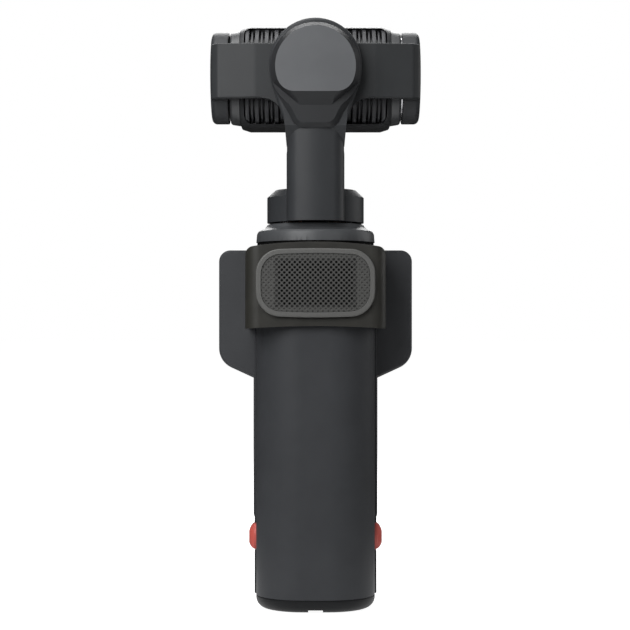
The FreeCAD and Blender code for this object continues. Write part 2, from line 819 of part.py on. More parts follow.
battery_front = -d.battery_rear + d.battery_depth
battery = box("battery_pack", -d.battery_width / 2, d.battery_width / 2, -d.battery_rear, battery_front,
              d.battery_floor, d.battery_floor + d.battery_length)
node("battery_pack", battery)
cradle_outer = box("cradle_outer", -d.battery_width / 2 - d.cradle_wall, d.battery_width / 2 + d.cradle_wall,
                   battery_front - d.cradle_grip, battery_front + d.seat_gap + d.cradle_wall,
                   d.battery_floor - d.cradle_wall, d.battery_floor + d.battery_length + d.cradle_wall)
cradle_inner = box("cradle_inner", -d.battery_width / 2 - d.seat_gap, d.battery_width / 2 + d.seat_gap,
                   battery_front - d.cradle_grip - 1, battery_front + d.seat_gap,
                   d.battery_floor - d.seat_gap, d.battery_floor + d.battery_length + d.seat_gap)
node("battery_cradle", cut("battery_cradle", cradle_outer, cradle_inner))
board_rear = battery_front + d.cradle_wall + 2 * d.seat_gap
main_board = box("main_board", -d.board_width / 2, d.board_width / 2,
                 board_rear, board_rear + d.board_thickness, d.board_floor, d.board_floor + d.board_length)
board_front = board_rear + d.board_thickness
board_shield = box("board_shield", -d.can_width / 2, d.can_width / 2, board_front,
                   board_front + d.can_height, d.can_floor, d.can_floor + d.can_length)
card_socket = box("card_socket", -d.card_width / 2, d.card_width / 2, board_front,
                  board_front + d.card_height, d.card_floor, d.card_floor + d.card_length)
node("main_board", fuse("main_board_with_parts", main_board, board_shield, card_socket))
# the speaker's edges rest on the round of the inner wall, beside the window
inner_corner = d.grip_corner - d.grip_wall
speaker_reach = d.speaker_width / 2 - (d.grip_half_width - d.grip_wall - inner_corner)
speaker_rear = (-d.grip_rear + d.grip_wall + inner_corner + d.face_gap
                - root(inner_corner * inner_corner - speaker_reach * speaker_reach))
node("speaker", box("speaker", -d.speaker_width / 2, d.speaker_width / 2, speaker_rear,
                    speaker_rear + d.speaker_depth, d.grille_centre - d.speaker_height / 2,
                    d.grille_centre + d.speaker_height / 2))

# Release buttons: a cap through the wall and a flange inside it, on a small spring

button_front = d.frame_half_width + d.button_proud
frame_inner = d.frame_half_width - d.grip_wall
flange_outer = d.grip_half_width - d.grip_wall - d.face_gap
flange_inner = flange_outer - d.button_flange
for side, word in ((1, "right"), (-1, "left")):
    low_z, high_z = d.button_centre - d.button_height / 2, d.button_centre + d.button_height / 2
    if side > 0:
        outline = [(flange_inner, low_z), (button_front, low_z),
                   (button_front, high_z), (flange_inner, high_z)]
        rounds = {1: d.button_round, 2: d.button_round}
        flange = (flange_inner, flange_outer)
    else:
        outline = [(-button_front, low_z), (-flange_inner, low_z),
                   (-flange_inner, high_z), (-button_front, high_z)]
        rounds = {0: d.button_round, 3: d.button_round}
        flange = (-flange_outer, -flange_inner)
    cap = prism("button_cap_" + word, "XZ", outline, d.button_y - d.button_length / 2,
                d.button_y + d.button_length / 2, rounds=rounds)
    plate = box("button_flange_" + word, flange[0], flange[1],
                d.button_y - d.button_length / 2 - d.button_lip,
                d.button_y + d.button_length / 2 + d.button_lip,
                low_z - d.button_lip, high_z + d.button_lip)
    node("release_button_" + word, fuse("release_button_" + word, cap, plate))


def coil(name, radius, wire, length, turns):
    """Round-wire compression spring along Z from 0, one unbroken tube of short mitred runs."""
    pitch = (length - 2 * wire) / turns
    per_turn = int(d.spring_runs.value)
    points = []
    for step in range(int(turns * per_turn) + 1):
        angle = 2 * math.pi * step / per_turn
        points.append(FreeCAD.Vector((radius - wire) * math.cos(angle), (radius - wire) * math.sin(angle),
                                     pitch * step / per_turn))
    ring = Part.Wire([Part.makeCircle(wire, points[0], points[1] - points[0])])
    shape = Part.makePolygon(points).makePipeShell([ring], True, False, 1)
    obj = doc.addObject("Part::Feature", name)
    obj.Shape = shape
    return obj


# The spring sits on the bracket and leaves the travel free
spring_tip = flange_inner - d.button_travel - d.seat_gap
bracket_end = spring_tip - d.spring_length - d.seat_gap
springs = []
for side, word in ((1, "right"), (-1, "left")):
    spring = coil("spring_" + word, d.spring_radius.value, d.spring_wire.value,
                  d.spring_length.value, d.spring_turns.value)
    reach = (spring_tip - d.spring_wire).value
    spring.Placement = FreeCAD.Placement(
        FreeCAD.Vector(side * reach, d.button_y.value, d.button_centre.value),
        FreeCAD.Rotation(FreeCAD.Vector(0, 1, 0), -90 * side))
    springs.append(spring)
node("release_springs", group("release_springs", *springs))
node("button_bracket", box("button_bracket", -bracket_end, bracket_end,
                           d.button_y - d.bracket_half_width, d.button_y + d.bracket_half_width,
                           boss_top + d.seat_gap, d.button_centre + d.bracket_half_width))


# Saddle round the top of the grip, and the grille on it

saddle_points = [(-d.saddle_half_width, -d.saddle_rear), (d.saddle_half_width, -d.saddle_rear),
                 (d.saddle_half_width, d.saddle_front), (-d.saddle_half_width, d.saddle_front)]
saddle_solid = prism("saddle_solid", "XY", saddle_points, d.saddle_low, d.saddle_high,
                     rounds={0: d.saddle_corner, 1: d.saddle_corner})
saddle_inner_rear = d.grip_rear + d.face_gap / 2
points = [(-d.saddle_inner, -(saddle_inner_rear - d.grip_crown)),
          (d.saddle_inner, -(saddle_inner_rear - d.grip_crown)),
          (d.saddle_inner, d.saddle_front + 1), (-d.saddle_inner, d.saddle_front + 1)]
saddle_hollow = prism("saddle_hollow", "XY", points, d.saddle_low - 1, d.saddle_high + 1,
                      {0: (arc_radius(d.saddle_inner, d.grip_crown), -1)},
                      {0: d.grip_corner, 1: d.grip_corner})
arch_half = d.saddle_half_width
saddle_arch = prism("saddle_arch", "XZ",
                    [(-arch_half, d.saddle_low), (arch_half, d.saddle_low),
                     (arch_half, d.saddle_high - d.saddle_drop), (-arch_half, d.saddle_high - d.saddle_drop)],
                    -d.saddle_rear - 1, d.saddle_front + 1,
                    {0: (arc_radius(arch_half, d.saddle_sag), 1),
                     2: (arc_radius(arch_half, d.saddle_drop), -1)},
                    {2: d.saddle_shoulder, 3: d.saddle_shoulder})
saddle_blank = common("saddle_blank", cut("saddle_band", saddle_solid, saddle_hollow), saddle_arch)
neck_room = cylinder("neck_room", d.neck_radius + d.face_gap, d.grip_top - d.face_gap, d.saddle_high + 1)
window_low = d.grille_centre - d.window_height / 2
window_high = d.grille_centre + d.window_height / 2
saddle_window = box("saddle_window", -d.window_width / 2, d.window_width / 2,
                    -d.saddle_rear - 1, -d.grip_rear + d.grip_corner / 4, window_low, window_high)
node("saddle", cut("saddle", saddle_blank, neck_room, saddle_window))


def rounded_plate(name, half_width, half_height, corner, rear, front):
    """Upright plate centred on the grille, with four bowed sides and round corners."""
    across = half_width - d.grille_bow_side
    rise = half_height - d.grille_bow_edge
    low, high = d.grille_centre - rise, d.grille_centre + rise
    points = [(-across, low), (across, low), (across, high), (-across, high)]
    edge = (arc_radius(across, d.grille_bow_edge), -1)
    side = (arc_radius(rise, d.grille_bow_side), -1)
    return prism(name, "XZ", points, rear, front, {0: edge, 1: side, 2: edge, 3: side},
                 {0: corner, 1: corner, 2: corner, 3: corner})


grille_front = -d.saddle_rear - d.seat_gap
grille_rear = grille_front - d.grille_depth
grille_solid = rounded_plate("grille_solid", d.grille_width / 2, d.grille_height / 2, d.grille_corner,
                             grille_rear, grille_front)
dress(grille_solid, "Fillet", d.grille_recess, edges_at(1, grille_rear.value), "edge")
opening_half = d.grille_width / 2 - d.grille_rim
opening_high = d.grille_height / 2 - d.grille_rim
opening_corner = d.grille_corner - d.grille_rim
grille_opening = rounded_plate("grille_opening", opening_half, opening_high, opening_corner,
                               grille_rear - 1, grille_front + 1)
node("grille_frame", cut("grille_frame", grille_solid, grille_opening))

# Holes lie in staggered rows over the window, which has round corners
plate_rear = grille_rear + d.grille_recess
plate_front = plate_rear + d.grille_plate
plate_blank = rounded_plate("plate_blank", opening_half - d.seat_gap, opening_high - d.seat_gap,
                            opening_corner, plate_rear, plate_front)
pitch = d.hole_pitch.value
hole = d.hole_radius.value
corner = d.window_corner.value
flat_half = d.window_width.value / 2 - corner
flat_high = d.window_height.value / 2 - corner
rows = int(d.window_height.value / pitch)
columns = int(d.window_width.value / pitch / 2)
holes = []
for row in range(2 * rows + 1):
    rise = (row - rows) * pitch / 2
    shift = pitch / 2 if row % 2 else 0
    for column in range(-columns - 1, columns + 1):
        x = column * pitch + shift
        if math.hypot(max(abs(x) - flat_half, 0), max(abs(rise) - flat_high, 0)) > corner - hole:
            continue
        start = FreeCAD.Vector(x, plate_rear.value - 0.5, d.grille_centre.value + rise)
        holes.append(Part.makeCylinder(hole, d.grille_plate.value + 1, start, FreeCAD.Vector(0, 1, 0)))
hole_set = doc.addObject("Part::Feature", "hole_set")
hole_set.Shape = Part.makeCompound(holes)
grille_plate = doc.addObject("Part::Cut", "grille_plate")
grille_plate.Base = plate_blank
grille_plate.Tool = hole_set
node("grille_plate", grille_plate)
node("acoustic_cloth", rounded_plate("acoustic_cloth", opening_half - d.seat_gap, opening_high - d.seat_gap,
                                     opening_corner, plate_front + d.seat_gap,
                                     plate_front + d.seat_gap + d.cloth_depth))

# Neck ring: the fixed cap that closes the grip, with the boss that carries the pan motor

boss_bore = d.bearing_radius + d.seat_gap
neck_floor = d.neck_top - d.neck_wall
neck_profile = [(d.neck_radius, d.neck_bottom), (d.neck_radius - 0.25, d.neck_shoulder),
                (d.neck_edge_radius, d.neck_edge), (d.neck_edge_radius - 1.7, d.neck_edge + 0.75),
                (d.neck_top_radius, d.neck_top), (d.boss_radius, d.neck_top),
                (d.boss_radius, d.neck_boss_top), (boss_bore, d.neck_boss_top),
                (boss_bore, neck_floor), (d.neck_top_radius - 1, neck_floor),
                (d.neck_edge_radius - d.neck_wall, d.neck_edge - d.neck_wall),
                (d.neck_radius - d.neck_wall, d.neck_bottom)]
node("neck_ring", turned("neck_ring", neck_profile))


def spokes(name, axis, width, inner, outer, low, high, across, up):
    """Equal bars that stand out from an axis, like the teeth of a motor core."""
    line = FreeCAD.Vector(*axis_point(axis, 1, 0, 0))
    middle = FreeCAD.Vector(*axis_point(axis, 0, wrap(across).value, wrap(up).value))
    count = int(d.tooth_count.value)
    bars = []
    for index in range(count):
        label = "%s%d" % (name, index)
        if axis == "Z":
            bar = box(label, inner, outer, -width / 2, width / 2, low, high)
        elif axis == "Y":
            bar = box(label, inner, outer, low, high, -width / 2, width / 2)
        else:
            bar = box(label, low, high, inner, outer, -width / 2, width / 2)
        holder = group(label + "_turned", bar)
        turn = FreeCAD.Rotation(line, 360.0 * index / count)
        holder.Placement = FreeCAD.Placement(middle, turn)
        bars.append(holder)
    return bars


def motor(prefix, axis, bearing_low, bearing_high, core_low, core_radius, across=0, up=0,
          core_height=d.core_height, more_bearings=()):
    """Toothed core on a boss, a coil on each tooth, and two bearings inside the boss."""
    core_high = core_low + core_height
    hub = cylinder(prefix + "_hub", d.core_hub, core_low, core_high, axis, across, up)
    teeth = spokes(prefix + "_tooth", axis, d.tooth_width, 0, core_radius, core_low, core_high, across, up)
    bore = cylinder(prefix + "_core_bore", d.boss_radius + d.seat_gap, core_low - 1, core_high + 1,
                    axis, across, up)
    core = cut(prefix + "_motor_core", fuse(prefix + "_star", hub, *teeth), bore)
    wound = spokes(prefix + "_winding", axis, d.coil_width, d.core_hub + d.coil_start,
                   core_radius - d.coil_start, core_low + 0.25, core_high - 0.25, across, up)
    room = spokes(prefix + "_slot", axis, d.tooth_width + 2 * d.seat_gap, 0, core_radius + 1,
                  core_low - 1, core_high + 1, across, up)
    coils = cut(prefix + "_motor_coils", group(prefix + "_bars", *wound), *room)
    node(prefix + "_stator", group(prefix + "_stator", core, coils))
    starts = [bearing_low, bearing_high - d.bearing_width] + list(more_bearings)
    bearings = [tube("%s_bearing%d" % (prefix, k), d.bearing_radius, d.shaft_radius + d.shaft_gap,
                     start, start + d.bearing_width, axis, across, up)
                for k, start in enumerate(starts)]
    node(prefix + "_bearings", group(prefix + "_bearings", *bearings))


motor("pan", "Z", neck_floor + 0.2, d.neck_boss_top, d.neck_top + d.pan_core_lift, d.core_radius)

# Arm: collar, stem and the housing of the roll motor in one casting

stem_points = [(-d.stem_half_width, -d.stem_rear + d.stem_crown),
               (d.stem_half_width, -d.stem_rear + d.stem_crown),
               (d.stem_half_width, -d.stem_front), (-d.stem_half_width, -d.stem_front)]
stem_column = prism("stem_column", "XY", stem_points, d.collar_bottom, d.taper_bottom + 1,
                    {0: (arc_radius(d.stem_half_width, d.stem_crown), -1)},
                    {0: d.stem_round, 1: d.stem_round})
# the stem thins out above, where the yoke swings past it
stem_side = prism("stem_side", "YZ",
                  [(-d.stem_rear - 1, d.collar_bottom - 1), (-d.stem_front + 1, d.collar_bottom - 1),
                   (-d.stem_front + 1, d.stem_thinning - 4), (-d.can_front, d.stem_thinning),
                   (-d.can_front, d.taper_bottom + 2), (-d.stem_rear - 1, d.taper_bottom + 2)],
                  -d.stem_half_width - 1, d.stem_half_width + 1)
stem = common("stem", stem_column, stem_side)
crown_centre = d.axis_height + d.can_rise
housing_half = [(d.stem_half_width - 0.2, d.blend_bottom - 2), (d.stem_half_width + 0.5, d.taper_bottom),
                (d.can_radius, d.taper_top), (d.can_radius, crown_centre)]
housing = prism("housing", "XZ", mirror_points(housing_half), -d.stem_rear, -d.can_front,
                {3: (d.can_radius + 0.0005, -1)}, {2: d.can_radius, 5: d.can_radius})
stem_rear_level = -d.stem_rear.value
dress(housing, "Fillet", d.can_wall - 0.3,
      lambda e: edges_at(1, stem_rear_level)(e) and e.BoundBox.ZMin > d.taper_bottom.value - 2, "rim")
# below the lid the housing slants back into the crowned stem
blend_rise = (d.blend_top - d.blend_bottom) / (d.stem_rear - d.can_front)
blend = prism("blend", "YZ",
              [(-d.stem_rear - 1, d.blend_top + blend_rise), (-d.stem_rear - 1, d.collar_top),
               (-d.can_front + 1, d.collar_top), (-d.can_front + 1, d.blend_bottom - blend_rise)],
              -d.can_radius, d.can_radius)
housing_end = cut("housing_end", housing, blend)
collar_profile = [(0, d.collar_bottom), (d.collar_radius, d.collar_bottom),
                  (d.collar_radius, d.collar_top - d.collar_chamfer),
                  (d.collar_radius - d.collar_chamfer, d.collar_top - 0.15), (0, d.collar_top)]
collar = turned("collar", collar_profile)
collar_room = cylinder("collar_room", d.collar_radius - d.collar_wall, d.collar_bottom - 1,
                       d.collar_top - d.collar_roof)
roll_room = cylinder("roll_room", d.lid_radius - d.lid_wall, -d.stem_rear - 1, -d.can_front + 1,
                     "Y", 0, d.axis_height)
shaft_seat = cylinder("shaft_seat", d.shaft_radius + d.shaft_gap, d.collar_bottom, d.collar_top - 0.8)
node("arm", cut("arm", fuse("arm_blank", stem, housing_end, collar), collar_room, roll_room, shaft_seat))

rotor_outer = d.collar_radius - d.collar_wall - d.seat_gap
node("pan_magnet_ring", tube("pan_magnet_ring", rotor_outer, rotor_outer - d.magnet_ring,
                             d.collar_bottom + 0.4, d.collar_top - d.collar_roof - d.seat_gap))
node("pan_shaft", cylinder("pan_shaft", d.shaft_radius, neck_floor + 0.2, d.collar_top - 0.9))

# Roll motor: the lid carries the boss and the wound core, the magnet ring turns with the yoke

lid_front = -d.stem_rear - d.seat_gap
lid_half = [(d.lid_foot, d.lid_bottom), (d.lid_foot + 2.0, d.lid_bottom + 4.0),
            (d.lid_radius - 0.6, d.lid_taper_top), (d.lid_radius - 0.6, d.axis_height)]
lid_plate = prism("lid_plate", "XZ", mirror_points(lid_half), -d.lid_pad_rear, lid_front,
                  rounds={0: d.lid_foot_round, 7: d.lid_foot_round})
dress(lid_plate, "Chamfer", d.lid_plate_bevel, edges_at(1, -d.lid_pad_rear.value), "bevel")
lid_drum = cylinder("lid_drum", d.lid_radius, -d.lid_pad_rear, lid_front, "Y", 0, d.axis_height)


def round_over(half, radius, closing):
    """Outline from its right half, listed from the bottom up, closed over the top by a round."""
    arcs = {1: (radius, -1), 2: (radius, -1)}
    arcs.update(closing)
    left = [(-wrap(x), z) for x, z in reversed(half)]
    return list(half) + [(0, d.axis_height + radius)] + left, arcs


# The raised disc ends below in a chord with round corners. Its flank widens all round to the drum,
# and below the chord to a narrower line on the pad, which leaves a slope with a facet on each side.
face_radius = d.lid_radius - d.lid_bevel
chord_drop = d.axis_height - d.lid_chord
chord_corner = ((face_radius * face_radius - chord_drop * chord_drop - d.lid_chord_half * d.lid_chord_half)
                / (2 * (face_radius - chord_drop)))
corner_x = d.lid_chord_half * face_radius / (face_radius - chord_corner)
corner_z = (chord_drop - chord_corner) * face_radius / (face_radius - chord_corner)
face_points, face_arcs = round_over([(d.lid_chord_half, d.lid_chord), (corner_x, d.axis_height - corner_z)],
                                    face_radius, {0: (chord_corner, -1), 3: (chord_corner, -1)})
foot_radius = d.lid_radius - d.seat_gap
spread = foot_radius / face_radius
foot_points, foot_arcs = round_over([(d.lid_slope_half, d.lid_slope_end),
                                     (corner_x * spread, d.axis_height - corner_z * spread)], foot_radius, {})
lid_raise = lofted("lid_raise", -d.lid_rear, -d.lid_pad_rear, face_points, foot_points, face_arcs, foot_arcs)
lid_roof = -d.stem_rear - d.lid_room
lid_hollow = cylinder("lid_hollow", d.lid_radius - d.lid_wall, lid_roof, -d.stem_rear + 1,
                      "Y", 0, d.axis_height)
roll_boss_end = -d.can_front - 0.6
lid_boss = cylinder("lid_boss", d.boss_radius, lid_roof - 0.5, roll_boss_end, "Y", 0, d.axis_height)
lid_bore = cylinder("lid_bore", boss_bore, lid_roof - 0.2, roll_boss_end + 1, "Y", 0, d.axis_height)
lid_shell = cut("lid_shell", fuse("lid_outer", lid_raise, lid_drum, lid_plate), lid_hollow)
node("roll_lid", cut("roll_lid", fuse("lid_with_boss", lid_shell, lid_boss), lid_bore))
motor("roll", "Y", lid_roof - 0.2 + d.seat_gap, roll_boss_end, lid_roof + 0.3, d.core_radius,
      0, d.axis_height)

side_x = d.camera_half_width - d.cheek_width

# Yoke: a C of constant height, with a hub plate behind it that closes the roll motor

yoke_front = -d.yoke_rear + d.yoke_thickness
half_outer = [(d.yoke_bend_start, -d.yoke_rear), (d.yoke_bend_end, -d.yoke_end_rear),
              (d.yoke_half_width, -d.yoke_end_rear + d.yoke_end_bevel), (d.yoke_half_width, d.yoke_arm_front),
              (d.cap_inner, d.yoke_arm_front), (d.cap_inner, -d.yoke_end_rear + d.yoke_thickness),
              (side_x + d.moving_gap, -d.yoke_end_rear + d.yoke_thickness),
              (side_x + d.moving_gap, yoke_front)]
mirrored = [(-wrap(u), v) for u, v in reversed(half_outer)]
bow = prism("yoke_bow", "XY", half_outer + mirrored, d.axis_height - d.yoke_half_height,
            d.axis_height + d.yoke_half_height,
            rounds={0: d.yoke_bow_round, 15: d.yoke_bow_round, 1: d.yoke_corner, 14: d.yoke_corner,
                    2: d.yoke_corner, 13: d.yoke_corner})


def on_bow_rim(edge):
    """Edges of the strip's top and bottom, but not those that face the camera."""
    top, foot = (d.axis_height + d.yoke_half_height).value, (d.axis_height - d.yoke_half_height).value
    level = edges_at(2, top)(edge) or edges_at(2, foot)(edge)
    wide = abs(edge.BoundBox.XMax) + abs(edge.BoundBox.XMin) > 6
    return level and wide and edge.BoundBox.YMin < yoke_front.value - 0.5


dress(bow, "Fillet", d.yoke_edge, on_bow_rim, "edge")
cap_rooms = [cylinder("cap_room_" + word, d.cap_radius + d.seat_gap, start, start + d.cap_radius, "X",
                      d.tilt_depth, d.axis_height)
             for word, start in (("right", d.cap_inner - 1), ("left", 1 - d.cap_inner - d.cap_radius))]
hub = cylinder("hub", d.hub_radius, -d.yoke_rear, yoke_front, "Y", 0, d.axis_height)
shaft_hole = cylinder("hub_bore", d.shaft_radius + d.shaft_gap, -d.yoke_rear - 1, yoke_front + 1,
                      "Y", 0, d.axis_height)
# the strip's lower edge flares down into the hub behind the roll motor
yoke_low = d.axis_height - d.yoke_half_height
flare_near = d.yoke_flare_reach - d.yoke_flare
flare = prism("yoke_flare_web", "XZ",
              [(-d.yoke_flare_reach, yoke_low), (-flare_near, yoke_low - d.yoke_flare),
               (flare_near, yoke_low - d.yoke_flare), (d.yoke_flare_reach, yoke_low),
               (d.yoke_flare_reach, yoke_low + 1), (-d.yoke_flare_reach, yoke_low + 1)],
              -d.yoke_rear, yoke_front, {0: (d.yoke_flare, 1), 2: (d.yoke_flare, 1)})
node("yoke", cut("yoke", fuse("yoke_blank", bow, hub, flare), shaft_hole, *cap_rooms))
magnet_outer = d.lid_radius - d.lid_wall - d.magnet_gap
rotor_rear = -d.yoke_rear - d.seat_gap
node("roll_magnet_ring", fuse("roll_magnet_ring",
                              tube("roll_magnets", magnet_outer, magnet_outer - d.magnet_ring,
                                   lid_roof + 0.4, rotor_rear, "Y", 0, d.axis_height),
                              tube("roll_end_plate", magnet_outer, d.boss_radius + 0.5,
                                   rotor_rear - 0.5, rotor_rear, "Y", 0, d.axis_height)))
node("roll_shaft", cylinder("roll_shaft", d.shaft_radius, lid_roof, yoke_front, "Y", 0, d.axis_height))

# Tilt motor caps at the ends of the yoke. The right one holds the motor, the left one a plain bearing.

boss_reach = d.cap_inner + 0.4
for side, word in ((1, "right"), (-1, "left")):
    profile = [(0, d.cap_outer), (0, d.cap_outer - d.cap_wall),
               (d.cap_radius - d.cap_wall, d.cap_outer - d.cap_wall),
               (d.cap_radius - d.cap_wall, d.cap_inner), (d.cap_radius, d.cap_inner),
               (d.cap_radius, d.cap_outer - d.cap_round), (d.cap_radius - d.cap_round, d.cap_outer)]
    shell = turned("tilt_shell_" + word, profile, "Z", arcs={5: (d.cap_round, -1)})
    boss = tube("tilt_boss_" + word, d.boss_radius, boss_bore, boss_reach, d.cap_outer - d.cap_wall + 0.2)
    holder = group("tilt_cap_parts_" + word, fuse("tilt_cap_blank_" + word, shell, boss))
    place(holder, 0, d.tilt_depth, d.axis_height, FreeCAD.Rotation(FreeCAD.Vector(0, 1, 0), 90 * side))
    node("tilt_cap_" + word, holder)
cap_floor = d.cap_outer - d.cap_wall
motor("tilt", "X", boss_reach + 0.1, cap_floor - 0.1, boss_reach - 0.1, d.core_radius + 1.0,
      d.tilt_depth, d.axis_height, d.tilt_core_height, more_bearings=[-cap_floor + 0.2])
tilt_ring_outer = d.cap_radius - d.cap_wall - d.magnet_gap
node("tilt_magnet_ring", tube("tilt_magnet_ring", tilt_ring_outer, tilt_ring_outer - d.magnet_ring * 0.6,
                              d.camera_half_width + d.seat_gap, cap_floor - d.magnet_gap, "X",
                              d.tilt_depth, d.axis_height))
shaft_near, shaft_far = d.camera_half_width - d.camera_wall, cap_floor - d.magnet_gap
node("tilt_shafts", group("tilt_shafts",
                          cylinder("tilt_shaft_right", d.shaft_radius, shaft_near, shaft_far, "X",
                                   d.tilt_depth, d.axis_height),
                          cylinder("tilt_shaft_left", d.shaft_radius, -shaft_far, -shaft_near, "X",
                                   d.tilt_depth, d.axis_height)))

# Camera: rear housing with the fin recess, front housing, cheeks, heat sink, sensors and lenses

low, high = d.axis_height - d.camera_half_height, d.axis_height + d.camera_half_height
rear_y, front_y = d.tilt_depth - d.camera_rear, d.tilt_depth + d.camera_front
joint_y = front_y - d.front_plate - d.front_shell_depth


def camera_section(name, inset, x0, x1, rear, front):
    """Side view of the camera, drawn inset from its outer faces, padded across."""
    points = [(rear_y + inset if rear is None else rear, low + inset), (front, low + inset),
              (front, high - inset), (rear_y + inset if rear is None else rear, high - inset)]
    round_to = d.camera_round - inset
    return prism(name, "YZ", points, x0, x1, rounds={0: round_to, 3: round_to})


def slant_sides(body):
    """Slant the edges at both sides down towards the cheeks, all but those of the joint face."""
    side = (side_x - d.seat_gap).value
    joint = joint_y.value

    def chooser(edge):
        at_side = edges_at(0, side)(edge) or edges_at(0, -side)(edge)
        on_joint = edge.BoundBox.YMax - edge.BoundBox.YMin < 1e-3 and abs(edge.BoundBox.YMin - joint) < 0.1
        return at_side and not on_joint

    dress(body, "Chamfer", d.camera_side_run, chooser, "slant")
    body.Tip.ChamferType = "Two distances"
    bind(body.Tip, "Size2", d.camera_side_drop)
    doc.recompute()
    return body


camera_outer = slant_sides(camera_section("camera_outer", 0, -side_x + d.seat_gap, side_x - d.seat_gap, None,
                                          joint_y - d.seat_gap))
# the recess goes round the rear corners at a constant depth, so the room behind it steps in
recess_end = rear_y + d.recess_reach
room_side = side_x - d.camera_wall
rear_room = camera_section("rear_room", d.recess_depth + d.camera_wall, -room_side, room_side, None, joint_y)
wide_room = box("wide_room", -room_side, room_side, recess_end + d.camera_wall, joint_y + 1,
                low + d.camera_wall, high - d.camera_wall)


def recess_outline(name, inset, rear, front):
    """Outline of the fin recess seen from behind, drawn inset from its edge."""
    across, rise = d.recess_half_width - inset, d.camera_half_height - d.recess_rim - inset
    points = [(-across, d.axis_height - rise), (across, d.axis_height - rise),
              (across, d.axis_height + rise), (-across, d.axis_height + rise)]
    corner = d.recess_corner - inset
    return prism(name, "XZ", points, rear, front, rounds={0: corner, 1: corner, 2: corner, 3: corner})


recess_floor = camera_section("recess_floor", d.recess_depth, -side_x, side_x, None, joint_y)
recess = cut("fin_recess", recess_outline("recess_mouth", wrap(0), rear_y - 1, recess_end), recess_floor)
sink_side = d.recess_half_width - d.sink_opening_margin
sink_bore = box("sink_opening", -sink_side, sink_side, rear_y, rear_y + d.recess_depth + d.camera_wall + 1,
                d.axis_height - d.sink_opening_half, d.axis_height + d.sink_opening_half)
node("camera_rear_housing", cut("camera_rear_housing", camera_outer, rear_room, wide_room, recess, sink_bore))

# Heat sink: a skin that lines the recess, fins on it, and a block that goes through to the board
sink_inset = d.recess_depth - d.seat_gap
fin_side = d.recess_half_width - d.fin_gap
fin_start = -d.fin_pitch * (d.fin_count - 1) / 2


def fin_row(name, count, first, width, inset):
    """Row of upright fins whose outer edges follow the camera's rear, drawn in by inset."""
    bars = [box("%s%d" % (name, k), first + k * d.fin_pitch - width / 2, first + k * d.fin_pitch + width / 2,
                rear_y, recess_end, low, high) for k in range(count)]
    return common(name + "_row", fuse(name + "_bars", *bars),
                  camera_section(name + "_edge", inset, -side_x, side_x, None, joint_y))


wide_count = int(d.fin_count.value)
sink_skin = camera_section("sink_skin", sink_inset - d.sink_base, -fin_side, fin_side, None, joint_y)
fins = [fin_row("fin", wide_count, fin_start, d.fin_wide, d.fin_step),
        fin_row("thin_fin", wide_count - 1, fin_start + d.fin_pitch / 2, d.fin_narrow, 2 * d.fin_step)]
sink_trim = recess_outline("sink_trim", d.fin_gap, rear_y - 1, recess_end - d.fin_gap)
sink_floor = camera_section("sink_floor", sink_inset, -side_x, side_x, None, joint_y)
sink_blank = common("sink_blank", fuse("sink_bars", sink_skin, *fins), sink_trim)
sink_shell = cut("sink_shell", sink_blank, sink_floor)
block_side = sink_side - d.fin_gap
block_half = d.sink_opening_half - d.fin_gap
sink_block = box("sink_block", -block_side, block_side, rear_y + sink_inset - d.sink_base / 2,
                 rear_y + d.recess_depth + d.camera_wall,
                 d.axis_height - block_half, d.axis_height + block_half)
node("heat_sink", fuse("heat_sink", sink_shell, sink_block))

cheeks = []
for side, word in ((1, "right"), (-1, "left")):
    near, far = side_x, d.camera_half_width
    x0, x1 = (near, far) if side > 0 else (-far, -near)
    ends = (d.cheek_radius, d.cheek_radius - d.cheek_taper)
    near_radius, far_radius = ends if side > 0 else reversed(ends)
    disc = cone("cheek_disc_" + word, near_radius, far_radius, x0, x1, "X", d.tilt_depth, d.axis_height)
    cheek = doc.addObject("Part::Fillet", "cheek_round_" + word)
    cheek.Base = disc
    doc.recompute()
    outer_x = side * d.camera_half_width.value
    round_to = d.cheek_round.value
    cheek.Edges = [(i, round_to, round_to) for i, e in enumerate(disc.Shape.Edges, start=1)
                   if edges_at(0, outer_x)(e)]
    bore = cylinder("cheek_bore_" + word, d.shaft_radius + d.shaft_gap, -d.camera_half_width - 1,
                    d.camera_half_width + 1, "X", d.tilt_depth, d.axis_height)
    cheeks.append(cut("camera_cheek_" + word, cheek, bore))
node("camera_cheeks", group("camera_cheeks", *cheeks))

front_points = [(joint_y, low), (front_y, low), (front_y, high), (joint_y, high)]
front_solid = slant_sides(prism("front_solid", "YZ", front_points, -side_x + d.seat_gap, side_x - d.seat_gap,
                                rounds={1: d.camera_front_round, 2: d.camera_front_round}))
front_room = box("front_room", -side_x + d.camera_wall, side_x - d.camera_wall, joint_y - 1,
                 front_y - d.front_plate, low + d.camera_wall, high - d.camera_wall)
lenses = (("main", -d.lens_main_x, d.lens_main_radius), ("tele", d.lens_tele_x, d.lens_tele_radius))
front_bores = [cylinder("front_bore_" + word, radius + d.seat_gap, joint_y, front_y + 1,
                        "Y", x, d.axis_height)
               for word, x, radius in lenses]
node("camera_front_housing", cut("camera_front_housing", front_solid, front_room, *front_bores))

